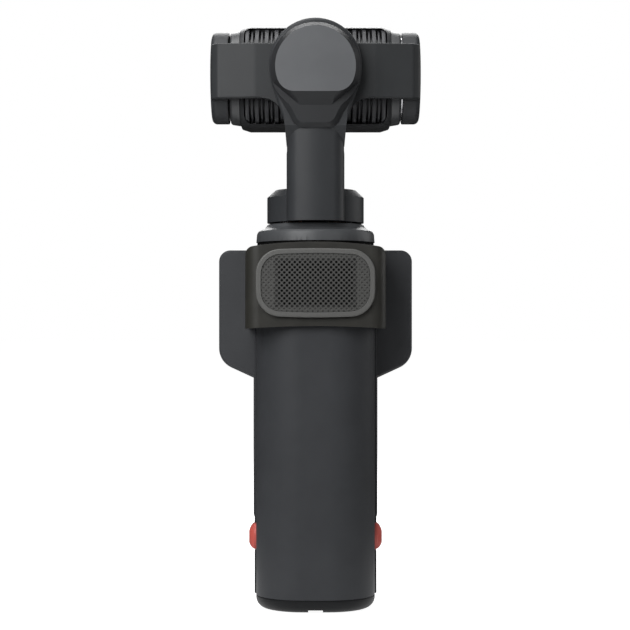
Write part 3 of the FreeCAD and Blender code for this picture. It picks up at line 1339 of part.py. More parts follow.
barrel_rear = front_y - d.barrel_length
glasses = []
elements = []
for word, x, radius in lenses:
    lens_tip = front_y + d.lens_proud
    glass_front = lens_tip - d.glass_recess
    glass_radius = radius - d.lens_wall
    barrel = cylinder("barrel_outer_" + word, radius, barrel_rear, lens_tip, "Y", x, d.axis_height)
    bore = cylinder("barrel_bore_" + word, glass_radius - d.lens_ledge, barrel_rear - 1, lens_tip + 1,
                    "Y", x, d.axis_height)
    seat = cylinder("glass_seat_" + word, glass_radius + d.seat_gap, glass_front - d.glass_thickness,
                    lens_tip + 1, "Y", x, d.axis_height)
    node("lens_barrel_" + word, cut("lens_barrel_" + word, barrel, bore, seat))
    glasses.append(cylinder("lens_glass_" + word, glass_radius, glass_front - d.glass_thickness,
                            glass_front, "Y", x, d.axis_height))
    for number in range(3):
        rear = barrel_rear + d.element_start + number * (d.element_thickness + d.element_gap)
        elements.append(cylinder("element%d_%s" % (number, word), glass_radius - d.lens_ledge - d.seat_gap,
                                 rear, rear + d.element_thickness, "Y", x, d.axis_height))
node("lens_glasses", group("lens_glasses", *glasses))
node("lens_elements", group("lens_elements", *elements))
board_y = barrel_rear - d.seat_gap
sensor_side = side_x - d.camera_wall - d.sensor_board_margin
node("sensor_board", box("sensor_board", -sensor_side, sensor_side,
                         board_y - d.sensor_board_thickness, board_y,
                         d.axis_height - d.sensor_board_height / 2,
                         d.axis_height + d.sensor_board_height / 2))

# Screen unit: T-shaped back shell, front bezel, glass, display, board, battery and controls


def tee(name, inset, rear, front, rounded=True):
    """T outline of the screen unit, drawn inset from its edge."""
    half = [(d.unit_strip_half - inset, d.unit_bottom + inset),
            (d.unit_strip_half - inset, d.unit_step_low + inset),
            (d.unit_half_width - inset, d.unit_step_high + inset),
            (d.unit_half_width - inset, d.unit_top - inset)]
    foot = d.unit_foot_corner - inset / 2
    lower = d.unit_low_corner - inset
    upper = d.unit_corner - inset / 2
    rounds = {0: foot, 7: foot, 2: lower, 5: lower, 3: upper, 4: upper}
    return prism(name, "XZ", mirror_points(half), rear, front, rounds=rounds)


tray_front = d.unit_front - d.bezel_depth
unit_shell = tee("unit_shell", wrap(0), d.unit_rear, tray_front)
dress(unit_shell, "Chamfer", d.unit_edge, edges_at(1, d.unit_rear.value), "edge")
unit_hollow = tee("unit_hollow", d.unit_wall, d.unit_rear + d.unit_wall, tray_front + 1)
unit_contacts = []
unit_contact_holes = []
for number in range(5):
    x = (number - 2) * d.pin_pitch
    z = d.contact_floor + d.contact_height / 2
    unit_contacts.append(cylinder("unit_pad%d" % number, d.pin_radius + 0.2, d.unit_rear + 0.05,
                                  d.unit_rear + d.unit_wall, "Y", x, z))
    unit_contact_holes.append(cylinder("unit_pad_hole%d" % number, d.pin_radius + 0.2 + d.seat_gap,
                                       d.unit_rear - 1, d.unit_rear + d.unit_wall + 1, "Y", x, z))
node("screen_unit_back", cut("screen_unit_back", unit_shell, unit_hollow, *unit_contact_holes))
node("screen_unit_contacts", group("screen_unit_contacts", *unit_contacts))

bezel_solid = tee("bezel_solid", wrap(0), tray_front + d.seat_gap, d.unit_front)
dress(bezel_solid, "Fillet", d.unit_edge, edges_at(1, d.unit_front.value), "edge")
glass_points = [(-d.glass_half_width, d.glass_bottom), (d.glass_half_width, d.glass_bottom),
                (d.glass_half_width, d.glass_top), (-d.glass_half_width, d.glass_top)]
corners = {0: d.glass_corner, 1: d.glass_corner, 2: d.glass_corner, 3: d.glass_corner}
glass = prism("screen_glass", "XZ", glass_points, d.unit_front - d.glass_depth, d.unit_front, rounds=corners)
grow = d.seat_gap
seat_half = d.glass_half_width + grow
seat_points = [(-seat_half, d.glass_bottom - grow), (seat_half, d.glass_bottom - grow),
               (seat_half, d.glass_top + grow), (-seat_half, d.glass_top + grow)]
glass_seat = prism("glass_seat", "XZ", seat_points, d.unit_front - d.glass_depth - grow, d.unit_front + 1,
                   rounds={0: d.glass_corner, 1: d.glass_corner, 2: d.glass_corner, 3: d.glass_corner})
panel_half = d.glass_half_width - d.panel_margin
panel_room = box("panel_room", -panel_half - grow, panel_half + grow, tray_front - 1, d.unit_front,
                 d.glass_bottom + d.panel_margin - grow, d.glass_top - d.panel_margin + grow)
record_hole = cylinder("record_hole", d.record_radius + d.face_gap, tray_front - 1, d.unit_front + 1,
                       "Y", 0, d.record_height)
stick_hole = cylinder("stick_hole", d.stick_well_radius, tray_front - 1, d.unit_front + 1,
                      "Y", 0, d.stick_height)
key_hole = box("key_hole", -d.key_length / 2 - d.face_gap, d.key_length / 2 + d.face_gap,
               tray_front - 1, d.unit_front + 1, d.key_height - d.key_width / 2 - d.face_gap,
               d.key_height + d.key_width / 2 + d.face_gap)
node("screen_unit_front", cut("screen_unit_front", bezel_solid, glass_seat, panel_room, record_hole,
                              stick_hole, key_hole))
node("screen_glass", glass)
panel_front = d.unit_front - d.glass_depth - d.seat_gap
node("display_panel", box("display_panel", -panel_half, panel_half, panel_front - d.panel_depth, panel_front,
                          d.glass_bottom + d.panel_margin, d.glass_top - d.panel_margin))
unit_floor = d.unit_rear + d.unit_wall
node("unit_battery", box("unit_battery", -d.unit_battery_width / 2, d.unit_battery_width / 2,
                         unit_floor + d.unit_board_depth + 2 * d.seat_gap,
                         unit_floor + d.unit_board_depth + 2 * d.seat_gap + d.unit_battery_depth,
                         d.glass_bottom + 3, d.glass_bottom + 3 + d.unit_battery_height))
unit_board_half = d.unit_strip_half - d.unit_wall - d.unit_board_margin
unit_board_low = d.unit_bottom + d.unit_wall + 1.5
node("unit_board", box("unit_board", -unit_board_half, unit_board_half,
                       unit_floor + d.seat_gap, unit_floor + d.seat_gap + d.unit_board_depth,
                       unit_board_low, unit_board_low + d.unit_board_height))
switch_rear = unit_floor + d.unit_board_depth + 2 * d.seat_gap

# Controls: a round record button, a two-way stick and a power key, each above its switch
record_rear = tray_front - d.record_inset
record_tip = d.unit_front + d.record_proud
record_cap = cylinder("record_cap", d.record_radius, record_rear, record_tip, "Y", 0, d.record_height)
record_rim = cylinder("record_rim", d.record_radius + d.record_rim, record_rear,
                      record_rear + d.record_rim_height, "Y", 0, d.record_height)
node("record_button", fuse("record_button", record_cap, record_rim))
switch_half = d.switch_width / 2
record_switch = box("record_switch", -switch_half, switch_half, switch_rear,
                    record_rear - d.record_travel - d.seat_gap,
                    d.record_height - switch_half, d.record_height + switch_half)

stick_z = d.stick_height
pivot_y = d.unit_front - d.stick_pivot_depth
ring_outer = d.stick_ring_radius
ring_inner = d.stick_ring_radius - d.stick_ring_wall
ring_half = d.stick_ring_height / 2
ring = tube("stick_ring_tube", ring_outer, ring_inner, pivot_y - ring_half, pivot_y + ring_half,
            "Y", 0, stick_z)
node("stick_ring", ring)
skirt_low = d.unit_front + d.stick_lift
skirt_high = skirt_low + d.stick_skirt_height
post = cylinder("stick_post", d.stick_post_radius, pivot_y - d.stick_post_radius / 2.5,
                skirt_low + d.stick_lift, "Y", 0, stick_z)
cross_half = ring_inner - d.stick_pin_gap
cross = cylinder("stick_cross", d.stick_pin_radius, -cross_half, cross_half, "X", pivot_y, stick_z)
cap_low = cone("stick_skirt", d.stick_skirt_radius, d.stick_cap_radius, skirt_low, skirt_high,
               "Y", 0, stick_z)
stick_tip = d.unit_front + d.stick_proud
cap_top = cylinder("stick_top", d.stick_cap_radius, skirt_high, stick_tip, "Y", 0, stick_z)
dish = cylinder("stick_dish", d.stick_cap_radius - d.stick_dish_rim, stick_tip - d.stick_dish_depth,
                stick_tip + 1, "Y", 0, stick_z)
node("stick", cut("stick", fuse("stick_blank", post, cross, cap_low, cap_top), dish))
base_outer = cylinder("stick_base_outer", d.stick_well_radius - d.face_gap, switch_rear,
                      pivot_y + d.stick_cup_rise, "Y", 0, stick_z)
base_room = cylinder("stick_base_room", ring_outer + d.stick_room, pivot_y - d.stick_cup_depth,
                     pivot_y + d.stick_cup_depth, "Y", 0, stick_z)
pin_near = ring_outer + d.seat_gap
pin_far = ring_outer + d.stick_room + d.seat_gap
pins = [cylinder("stick_pin%d" % k, d.stick_pin_radius, a, b, "Z", 0, 0)
        for k, (a, b) in enumerate(((stick_z - pin_far, stick_z - pin_near),
                                    (stick_z + pin_near, stick_z + pin_far)))]
for pin in pins:
    pin.setExpression("Placement.Base.y", pivot_y.text)
node("stick_base", fuse("stick_base", cut("stick_base_cup", base_outer, base_room), *pins))

key_rear = tray_front - d.key_inset
key_low, key_high = d.key_height - d.key_width / 2, d.key_height + d.key_width / 2
key_cap = prism("key_cap", "XZ", [(-d.key_length / 2, key_low), (d.key_length / 2, key_low),
                                  (d.key_length / 2, key_high), (-d.key_length / 2, key_high)],
                key_rear, d.unit_front + d.key_proud,
                rounds={0: d.key_round, 1: d.key_round, 2: d.key_round, 3: d.key_round})
key_rim = box("key_rim", -d.key_length / 2 - d.key_rim, d.key_length / 2 + d.key_rim,
              key_rear, key_rear + d.key_rim_height, key_low - d.key_rim, key_high + d.key_rim)
node("power_key", fuse("power_key", key_cap, key_rim))
key_switch = box("key_switch", -d.key_switch_width / 2, d.key_switch_width / 2, switch_rear,
                 key_rear - d.key_travel - d.seat_gap,
                 d.key_height - d.key_switch_height / 2, d.key_height + d.key_switch_height / 2)
node("unit_switches", group("unit_switches", record_switch, key_switch))

# Every object must have come out sound before anything is written

doc.recompute()
faults = [o.Name + " " + str(o.State) for o in doc.Objects
          if "Invalid" in o.State or "Error" in o.State]
for name, obj in NODES:
    shape = obj.Shape
    if shape.isNull() or not shape.isValid() or not shape.Solids:
        faults.append(name + " has no sound solid")
if faults:
    raise RuntimeError("; ".join(faults))
for name, obj in NODES:
    obj.Shape.exportStep("parts/%s.step" % name)
print(len(NODES), "nodes written")
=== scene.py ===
# %% [markdown]
# # A pocket gimbal camera, dressed in Blender
# The solids come from CAD and stay where they are. Here they get rounded edges, finishes, a floor,
# light and a camera. Everything is in metres, with Z up and the rear of the grip facing -Y.

# %% Load the frame
import math

import bmesh
import bpy
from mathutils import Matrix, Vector


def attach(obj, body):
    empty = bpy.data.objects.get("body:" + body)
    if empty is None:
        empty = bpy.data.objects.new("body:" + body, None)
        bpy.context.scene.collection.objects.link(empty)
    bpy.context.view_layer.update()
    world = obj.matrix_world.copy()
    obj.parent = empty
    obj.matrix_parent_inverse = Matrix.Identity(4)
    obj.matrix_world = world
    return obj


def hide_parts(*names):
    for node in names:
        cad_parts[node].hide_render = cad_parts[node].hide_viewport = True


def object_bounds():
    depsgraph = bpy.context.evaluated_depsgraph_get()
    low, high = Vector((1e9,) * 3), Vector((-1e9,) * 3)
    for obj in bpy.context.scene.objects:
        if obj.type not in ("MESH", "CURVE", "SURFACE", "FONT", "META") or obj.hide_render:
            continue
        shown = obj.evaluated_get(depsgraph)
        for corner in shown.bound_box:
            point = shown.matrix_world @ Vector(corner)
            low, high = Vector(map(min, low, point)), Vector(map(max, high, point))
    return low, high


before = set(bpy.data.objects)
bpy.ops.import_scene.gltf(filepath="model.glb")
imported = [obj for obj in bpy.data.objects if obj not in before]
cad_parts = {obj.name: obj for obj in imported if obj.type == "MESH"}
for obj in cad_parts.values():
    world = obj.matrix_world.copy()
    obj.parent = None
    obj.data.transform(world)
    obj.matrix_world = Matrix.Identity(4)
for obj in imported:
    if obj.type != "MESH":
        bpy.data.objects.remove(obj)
MM = 0.001
cad_low, cad_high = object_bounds()
print("CAD box", [round(v, 4) for v in cad_low], [round(v, 4) for v in cad_high])

# %% [markdown]
# The picture was taken from half a metre, at about half the object's height, looking level.
# A long lens gives nearly parallel lines. The horizon lies a little under the middle of the picture, so
# the lens is shifted up by ten pixels of 630 and the camera isn't tilted, which keeps uprights upright.

# %% Camera
PICTURE_SIDE = 630
FOCAL_PIXELS = 1800
RISE_PIXELS = 10
SENSOR_WIDTH = 36.0
CAMERA_PLACE = (-0.00014, -0.5, 0.0779)

camera_data = bpy.data.cameras.new("view_camera")
camera_data.sensor_width = SENSOR_WIDTH
camera_data.lens = SENSOR_WIDTH * FOCAL_PIXELS / PICTURE_SIDE
camera_data.shift_y = RISE_PIXELS / PICTURE_SIDE
camera_data.clip_start = 0.01
camera_data.clip_end = 50.0
view_camera = bpy.data.objects.new("view_camera", camera_data)
bpy.context.collection.objects.link(view_camera)
view_camera.location = CAMERA_PLACE
view_camera.rotation_euler = (math.radians(90), 0, 0)
bpy.context.scene.camera = view_camera
print("lens", round(camera_data.lens, 2), "mm")

# %% [markdown]
# Soft studio light: the main lamp stands above and to the left of the camera and models the round
# forms, which fall off to dark at both sides. A lamp overhead catches the upper edges. Weaker ones fill
# the right and the right-hand side, and one lights the screen side. The camera doesn't see the lamps
# themselves, so they don't show in other views.

# %% Lamps
def lamp(name, place, aim_height, width, height, watts):
    """A rectangular lamp that points at the object's axis at aim_height. All lengths are in metres."""
    data = bpy.data.lights.new(name, "AREA")
    data.shape = "RECTANGLE"
    data.size = width
    data.size_y = height
    data.energy = watts
    obj = bpy.data.objects.new(name, data)
    bpy.context.collection.objects.link(obj)
    obj.location = place
    aim = Vector((0.0, 0.0, aim_height)) - Vector(place)
    obj.rotation_euler = aim.to_track_quat("-Z", "Y").to_euler()
    obj.visible_camera = False


lamp("lamp_main", (-0.16, -0.26, 0.24), 0.08, 0.26, 0.24, 1.05)
lamp("lamp_top", (-0.06, -0.04, 0.46), 0.12, 0.24, 0.24, 0.60)
lamp("lamp_right", (0.24, -0.32, 0.20), 0.08, 0.20, 0.24, 0.16)
lamp("lamp_side", (0.44, 0.18, 0.22), 0.09, 0.30, 0.30, 0.40)
lamp("lamp_screen_side", (0.0, 0.42, 0.36), 0.08, 0.30, 0.30, 1.4)
print(len(bpy.data.lights), "lamps")

# %% [markdown]
# The background of the picture is pure white. Light Path lets the world be white only for what the
# camera, a gloss or a glass sees, while the light that falls on the object stays soft and grey.

# %% World
AMBIENT_STRENGTH = 0.10
BACKDROP_STRENGTH = 1.0

world = bpy.data.worlds.new("studio")
bpy.context.scene.world = world
world.use_nodes = True
sky = world.node_tree
sky.nodes.clear()


def seen_rays(tree):
    """1 for camera, glossy and transmission rays, and 0 for the light on the object."""
    path = tree.nodes.new("ShaderNodeLightPath")
    first = tree.nodes.new("ShaderNodeMath")
    first.operation = "MAXIMUM"
    second = tree.nodes.new("ShaderNodeMath")
    second.operation = "MAXIMUM"
    tree.links.new(path.outputs["Is Camera Ray"], first.inputs[0])
    tree.links.new(path.outputs["Is Glossy Ray"], first.inputs[1])
    tree.links.new(first.outputs[0], second.inputs[0])
    tree.links.new(path.outputs["Is Transmission Ray"], second.inputs[1])
    return second.outputs[0]


ambient = sky.nodes.new("ShaderNodeBackground")
ambient.inputs["Color"].default_value = (1, 1, 1, 1)
ambient.inputs["Strength"].default_value = AMBIENT_STRENGTH
backdrop = sky.nodes.new("ShaderNodeBackground")
backdrop.inputs["Color"].default_value = (1, 1, 1, 1)
backdrop.inputs["Strength"].default_value = BACKDROP_STRENGTH
choose = sky.nodes.new("ShaderNodeMixShader")
sky_out = sky.nodes.new("ShaderNodeOutputWorld")
sky.links.new(seen_rays(sky), choose.inputs["Fac"])
sky.links.new(ambient.outputs[0], choose.inputs[1])
sky.links.new(backdrop.outputs[0], choose.inputs[2])
sky.links.new(choose.outputs[0], sky_out.inputs["Surface"])
print("world", world.name)

# %% [markdown]
# A studio is dark beside and behind the camera, and that is what the satin faces mirror. A round wall
# of dark cloth stands for it, open at the top, and the cloth runs in over the floor to 80 mm from the
# object's axis. Only reflections meet it: the camera and the glass see past it to the white, and it
# takes no light away.

# %% Dark wall of the studio
CLOTH_INNER_RADIUS = 0.08
WALL_RADIUS = 1.40
WALL_HEIGHT = 2.40
CLOTH_DROP = 0.1 * MM
FLOOR_DROP = 0.2 * MM

wall_mesh = bpy.data.meshes.new("studio_wall")
bm = bmesh.new()
wall_points = ((CLOTH_INNER_RADIUS, 0, 0), (WALL_RADIUS, 0, 0), (WALL_RADIUS, 0, WALL_HEIGHT))
profile = [bm.verts.new(place) for place in wall_points]
edges = [bm.edges.new(pair) for pair in zip(profile, profile[1:])]
bmesh.ops.spin(bm, geom=profile + edges, cent=(0, 0, 0), axis=(0, 0, 1), angle=math.tau, steps=48,
               use_merge=True)
bmesh.ops.translate(bm, verts=bm.verts, vec=(0, 0, cad_low.z - CLOTH_DROP))
bm.to_mesh(wall_mesh)
bm.free()
wall = bpy.data.objects.new("studio_wall", wall_mesh)
bpy.context.collection.objects.link(wall)
wall.visible_camera = False
wall.visible_transmission = False
wall.visible_diffuse = False
wall.visible_shadow = False
wall_finish = bpy.data.materials.new("dark_cloth")
wall_finish.use_nodes = True
cloth_shader = wall_finish.node_tree.nodes["Principled BSDF"]
cloth_shader.inputs["Base Color"].default_value = (0.03, 0.03, 0.03, 1)
cloth_shader.inputs["Roughness"].default_value = 0.9
wall_mesh.materials.append(wall_finish)
print(wall.name, len(wall_mesh.polygons), "faces")

# %% [markdown]
# The floor is pale and wide. Its own light for the camera lifts it to white where nothing shades it,
# and the soft shadow under the base stays, because the object still keeps the lamps off it.

# %% Floor
FLOOR_HALF_SIDE = 8.0
PAPER_TONE = 0.60
FLOOR_LIFT = 0.945

floor_mesh = bpy.data.meshes.new("floor")
bm = bmesh.new()
bmesh.ops.create_grid(bm, x_segments=1, y_segments=1, size=FLOOR_HALF_SIDE)
bmesh.ops.translate(bm, verts=bm.verts, vec=(0, 0, cad_low.z - FLOOR_DROP))
bm.to_mesh(floor_mesh)
bm.free()
floor = bpy.data.objects.new("floor", floor_mesh)
bpy.context.collection.objects.link(floor)
floor_finish = bpy.data.materials.new("pale_floor")
floor_finish.use_nodes = True
tree = floor_finish.node_tree
tree.nodes.clear()
paper = tree.nodes.new("ShaderNodeBsdfDiffuse")
paper.inputs["Color"].default_value = (PAPER_TONE, PAPER_TONE, PAPER_TONE, 1)
glow = tree.nodes.new("ShaderNodeEmission")
glow.inputs["Color"].default_value = (1, 1, 1, 1)
lift = tree.nodes.new("ShaderNodeMath")
lift.operation = "MULTIPLY"
lift.inputs[1].default_value = FLOOR_LIFT
both = tree.nodes.new("ShaderNodeAddShader")
out = tree.nodes.new("ShaderNodeOutputMaterial")
tree.links.new(seen_rays(tree), lift.inputs[0])
tree.links.new(lift.outputs[0], glow.inputs["Strength"])
tree.links.new(paper.outputs[0], both.inputs[0])
tree.links.new(glow.outputs[0], both.inputs[1])
tree.links.new(both.outputs[0], out.inputs["Surface"])
floor_mesh.materials.append(floor_finish)
print(floor.name, len(floor_mesh.polygons), "face")

# %% [markdown]
# ## Finishes
# Every finish starts from the same few moves. A fine noise on Object coordinates varies the colour
# and the roughness a little, and a bump of the same noise gives the grain that moulded plastic or
# blasted metal has. Object coordinates are in metres, so a grain size in millimetres is easy to set.

# %% Finish helpers
MM_PER_METRE = 1000.0


def start_finish(name):
    material = bpy.data.materials.new(name)
    material.use_nodes = True
    return material, material.node_tree, material.node_tree.nodes["Principled BSDF"]


def object_space(tree, stretch=(1, 1, 1)):
    place = tree.nodes.new("ShaderNodeTexCoord")
    mapping = tree.nodes.new("ShaderNodeMapping")
    mapping.inputs["Scale"].default_value = stretch
    tree.links.new(place.outputs["Object"], mapping.inputs["Vector"])
    return mapping.outputs["Vector"]


def noise(tree, size_mm, detail=3.0, stretch=(1, 1, 1)):
    node = tree.nodes.new("ShaderNodeTexNoise")
    node.inputs["Scale"].default_value = MM_PER_METRE / size_mm
    node.inputs["Detail"].default_value = detail
    tree.links.new(object_space(tree, stretch), node.inputs["Vector"])
    return node.outputs["Fac"]


def spread(tree, value, low, high, start=0.3, end=0.7):
    """Stretch value from start..end, where most of a noise lies, to low..high."""
    node = tree.nodes.new("ShaderNodeMapRange")
    node.inputs["From Min"].default_value = start
    node.inputs["From Max"].default_value = end
    node.inputs["To Min"].default_value = low
    node.inputs["To Max"].default_value = high
    tree.links.new(value, node.inputs["Value"])
    return node.outputs["Result"]


def two_tone(tree, value, first, second):
    node = tree.nodes.new("ShaderNodeMix")
    node.data_type = "RGBA"
    node.inputs["A"].default_value = (*first, 1)
    node.inputs["B"].default_value = (*second, 1)
    tree.links.new(value, node.inputs["Factor"])
    return node.outputs["Result"]


def grain(tree, shader, height, depth_mm, strength):
    node = tree.nodes.new("ShaderNodeBump")
    node.inputs["Distance"].default_value = depth_mm * MM
    node.inputs["Strength"].default_value = strength
    tree.links.new(height, node.inputs["Height"])
    tree.links.new(node.outputs["Normal"], shader.inputs["Normal"])


def shade_of(colour, factor):
    return tuple(min(1.0, c * factor) for c in colour)


# %% [markdown]
# Moulded plastic and blasted, painted metal differ in grain size, gloss and sheen, so one function makes
# them all. Broad, faint clouds in the colour keep large faces from looking like flat paint.

# %% Moulded and painted finishes
CLOUD_MM = 9.0
CLOUD_SHARE = 0.06
FLECK_ROUGHNESS = 0.05


def fine_finish(name, colour, roughness, grain_mm=0.25, depth_mm=0.012, specular=0.3, coat=0.0):
    material, tree, shader = start_finish(name)
    cloud = spread(tree, noise(tree, CLOUD_MM, detail=4.0), 0.0, 1.0)
    tone = two_tone(tree, cloud, shade_of(colour, 1 - CLOUD_SHARE), shade_of(colour, 1 + CLOUD_SHARE))
    tree.links.new(tone, shader.inputs["Base Color"])
    fleck = noise(tree, grain_mm, detail=2.0)
    gloss = spread(tree, fleck, roughness - FLECK_ROUGHNESS, roughness + FLECK_ROUGHNESS)
    tree.links.new(gloss, shader.inputs["Roughness"])
    shader.inputs["Specular IOR Level"].default_value = specular
    shader.inputs["Coat Weight"].default_value = coat
    shader.inputs["Coat Roughness"].default_value = 0.3
    grain(tree, shader, fleck, depth_mm, strength=0.6)
    return material


grip_plastic = fine_finish("grip_plastic", (0.042, 0.044, 0.048), 0.52,
                           grain_mm=0.30, depth_mm=0.015, specular=0.20)
frame_plastic = fine_finish("frame_plastic", (0.034, 0.036, 0.039), 0.52, specular=0.20)
base_plastic = fine_finish("base_plastic", (0.006, 0.0065, 0.0075), 0.50, specular=0.18)
unit_plastic = fine_finish("unit_plastic", (0.050, 0.052, 0.056), 0.55, specular=0.22)
unit_face_plastic = fine_finish("unit_face_plastic", (0.030, 0.031, 0.033), 0.50, specular=0.30)
arm_paint = fine_finish("arm_paint", (0.034, 0.036, 0.039), 0.46,
                        grain_mm=0.16, depth_mm=0.006, specular=0.24)
lid_paint = fine_finish("lid_paint", (0.026, 0.027, 0.029), 0.44,
                        grain_mm=0.16, depth_mm=0.006, specular=0.24)
# A lighter copy of the lid's paint for its disc: the extra lightness is painted sheen.
disc_sheen_paint = fine_finish("disc_sheen_paint", (0.100, 0.104, 0.110), 0.36,
                         grain_mm=0.16, depth_mm=0.005, specular=0.40)
yoke_paint = fine_finish("yoke_paint", (0.032, 0.034, 0.036), 0.46,
                         grain_mm=0.16, depth_mm=0.006, specular=0.24)
neck_paint = fine_finish("neck_paint", (0.066, 0.069, 0.073), 0.42,
                         grain_mm=0.12, depth_mm=0.004, specular=0.4)
camera_paint = fine_finish("camera_paint", (0.024, 0.025, 0.027), 0.40,
                           grain_mm=0.14, depth_mm=0.005, specular=0.3)
cheek_paint = fine_finish("cheek_paint", (0.045, 0.047, 0.050), 0.34,
                          grain_mm=0.12, depth_mm=0.004, specular=0.5)
fin_paint = fine_finish("fin_paint", (0.045, 0.046, 0.050), 0.36,
                        grain_mm=0.12, depth_mm=0.004, specular=0.35)
release_paint = fine_finish("release_paint", (0.56, 0.095, 0.075), 0.42,
                            grain_mm=0.2, depth_mm=0.006, specular=0.4)
key_plastic = fine_finish("key_plastic", (0.075, 0.077, 0.082), 0.45, specular=0.35)
stick_rubber = fine_finish("stick_rubber", (0.030, 0.030, 0.031), 0.75,
                           grain_mm=0.4, depth_mm=0.03, specular=0.2)
# Near-black paint that stands for the shadow in the gap under the neck ring: painted shadow.
gap_shadow_paint = fine_finish("gap_shadow_paint", (0.004, 0.004, 0.004), 0.8,
                          grain_mm=0.3, depth_mm=0.01, specular=0.1)
inner_plastic = fine_finish("inner_plastic", (0.13, 0.13, 0.13), 0.6)
battery_film = fine_finish("battery_film", (0.10, 0.12, 0.18), 0.35,
                           grain_mm=2.5, depth_mm=0.05, coat=0.3)
black_metal = fine_finish("black_metal", (0.018, 0.018, 0.020), 0.40,
                          grain_mm=0.1, depth_mm=0.003, specular=0.5)
print(len(bpy.data.materials), "finishes so far")

# %% [markdown]
# Machined steel and brass show fine lines where a tool has gone round, so their noise is squeezed along
# Z. The port's shell is drawn sheet, with lines along Z, and plated magnets have no lines. Motor windings
# are bands of enamelled copper, drawn with a wave.

# %% Machined finishes
LINE_MM = 1.2
LINE_ROUGHNESS = 0.07
LINE_DARK = 0.88
LINE_LIGHT = 1.08
WAVE_TURN = 6.283


def turned_finish(name, colour, roughness, stretch):
    material, tree, shader = start_finish(name)
    lines = noise(tree, LINE_MM, 4.0, stretch)
    tone = two_tone(tree, spread(tree, lines, 0.0, 1.0), shade_of(colour, LINE_DARK),
                    shade_of(colour, LINE_LIGHT))
    tree.links.new(tone, shader.inputs["Base Color"])
    gloss = spread(tree, lines, roughness - LINE_ROUGHNESS, roughness + LINE_ROUGHNESS)
    tree.links.new(gloss, shader.inputs["Roughness"])
    shader.inputs["Metallic"].default_value = 1.0
    grain(tree, shader, lines, depth_mm=0.01, strength=0.4)
    return material


turned_steel = turned_finish("turned_steel", (0.60, 0.60, 0.61), 0.28, (1, 1, 12))
turned_brass = turned_finish("turned_brass", (0.72, 0.52, 0.24), 0.30, (1, 1, 12))
magnet_nickel = turned_finish("magnet_nickel", (0.55, 0.55, 0.57), 0.24, (1, 1, 1))
port_steel = turned_finish("port_steel", (0.50, 0.50, 0.52), 0.30, (6, 6, 1))


def banded_finish(name, first, second, size_mm, roughness, metallic):
    """Fine slanting bands, as of wire or printed copper, that repeat every 4 size_mm along an axis."""
    material, tree, shader = start_finish(name)
    wave = tree.nodes.new("ShaderNodeTexWave")
    wave.wave_type = "BANDS"
    wave.bands_direction = "DIAGONAL"
    wave.inputs["Scale"].default_value = MM_PER_METRE / size_mm / WAVE_TURN
    wave.inputs["Distortion"].default_value = 0.4
    tree.links.new(object_space(tree), wave.inputs["Vector"])
    tree.links.new(two_tone(tree, wave.outputs["Fac"], first, second), shader.inputs["Base Color"])
    shader.inputs["Roughness"].default_value = roughness
    shader.inputs["Metallic"].default_value = metallic
    grain(tree, shader, wave.outputs["Fac"], depth_mm=0.05, strength=0.8)
    return material


copper_winding = banded_finish("copper_winding", (0.45, 0.18, 0.07), (0.72, 0.36, 0.16),
                               size_mm=0.35, roughness=0.35, metallic=0.9)
board_green = banded_finish("board_green", (0.012, 0.075, 0.035), (0.020, 0.12, 0.055),
                            size_mm=1.1, roughness=0.38, metallic=0.0)
print(len(bpy.data.materials), "finishes so far")

# %% [markdown]
# The saddle is smoke-tinted plastic that lets some light through, so the grip behind it shows
# faintly. Transmission does that in the shader, and the wall of the solid gives it its depth.

# %% Smoke-tinted saddle
def smoke_finish():
    material, tree, shader = start_finish("saddle_smoke")
    haze = noise(tree, size_mm=6.0)
    tone = two_tone(tree, spread(tree, haze, 0.0, 1.0), (0.028, 0.0275, 0.023), (0.042, 0.041, 0.035))
    tree.links.new(tone, shader.inputs["Base Color"])
    tree.links.new(spread(tree, noise(tree, size_mm=0.3), 0.44, 0.54), shader.inputs["Roughness"])
    shader.inputs["Transmission Weight"].default_value = 0.35
    shader.inputs["IOR"].default_value = 1.46
    shader.inputs["Specular IOR Level"].default_value = 0.4
    grain(tree, shader, noise(tree, size_mm=0.4), depth_mm=0.004, strength=0.5)
    return material


saddle_smoke = smoke_finish()
print(saddle_smoke.name)

# %% [markdown]
# The grille's plate is pressed sheet. Only the middle holes are pierced, and they are real holes in the
# solid. The others are shallow dimples, which a lattice in the shader draws at the same pitch: staggered
# rows are a square lattice turned by 45 degrees, so the nearest dot is found by rounding. The dimples are
# darkened as painted shade in their hollows, and a ring of painted shade round each pierced hole makes it
# read darker and wider.

# %% Grille finish
HOLE_PITCH = 1.39
GRILLE_CENTRE = 89.2
PIERCED_HALF_WIDTH = 11.0
PIERCED_HALF_HEIGHT = 6.6
DIMPLE_RADIUS = 0.26
DIMPLE_SHADE = 0.6
HOLE_SHADE_RADIUS = 0.41


def calc(tree, operation, first, second=None):
    node = tree.nodes.new("ShaderNodeMath")
    node.operation = operation
    for index, value in enumerate((first, second)):
        if value is None:
            continue
        if isinstance(value, (int, float)):
            node.inputs[index].default_value = value
        else:
            tree.links.new(value, node.inputs[index])
    return node.outputs[0]


def dimple_mask(tree, radius_mm):
    """1 inside a dot of the staggered lattice and 0 between dots, with a soft edge."""
    split = tree.nodes.new("ShaderNodeSeparateXYZ")
    tree.links.new(object_space(tree, (MM_PER_METRE / HOLE_PITCH,) * 3), split.inputs[0])
    up = calc(tree, "SUBTRACT", split.outputs["Z"], GRILLE_CENTRE / HOLE_PITCH)
    total = None
    for operation in ("ADD", "SUBTRACT"):
        run = calc(tree, operation, split.outputs["X"], up)
        off = calc(tree, "SUBTRACT", run, calc(tree, "ROUND", run))
        square = calc(tree, "MULTIPLY", off, off)
        total = square if total is None else calc(tree, "ADD", total, square)
    distance = calc(tree, "SQRT", calc(tree, "MULTIPLY", total, 0.5))
    edge = radius_mm / HOLE_PITCH
    return spread(tree, distance, 1.0, 0.0, edge * 0.75, edge * 1.15)


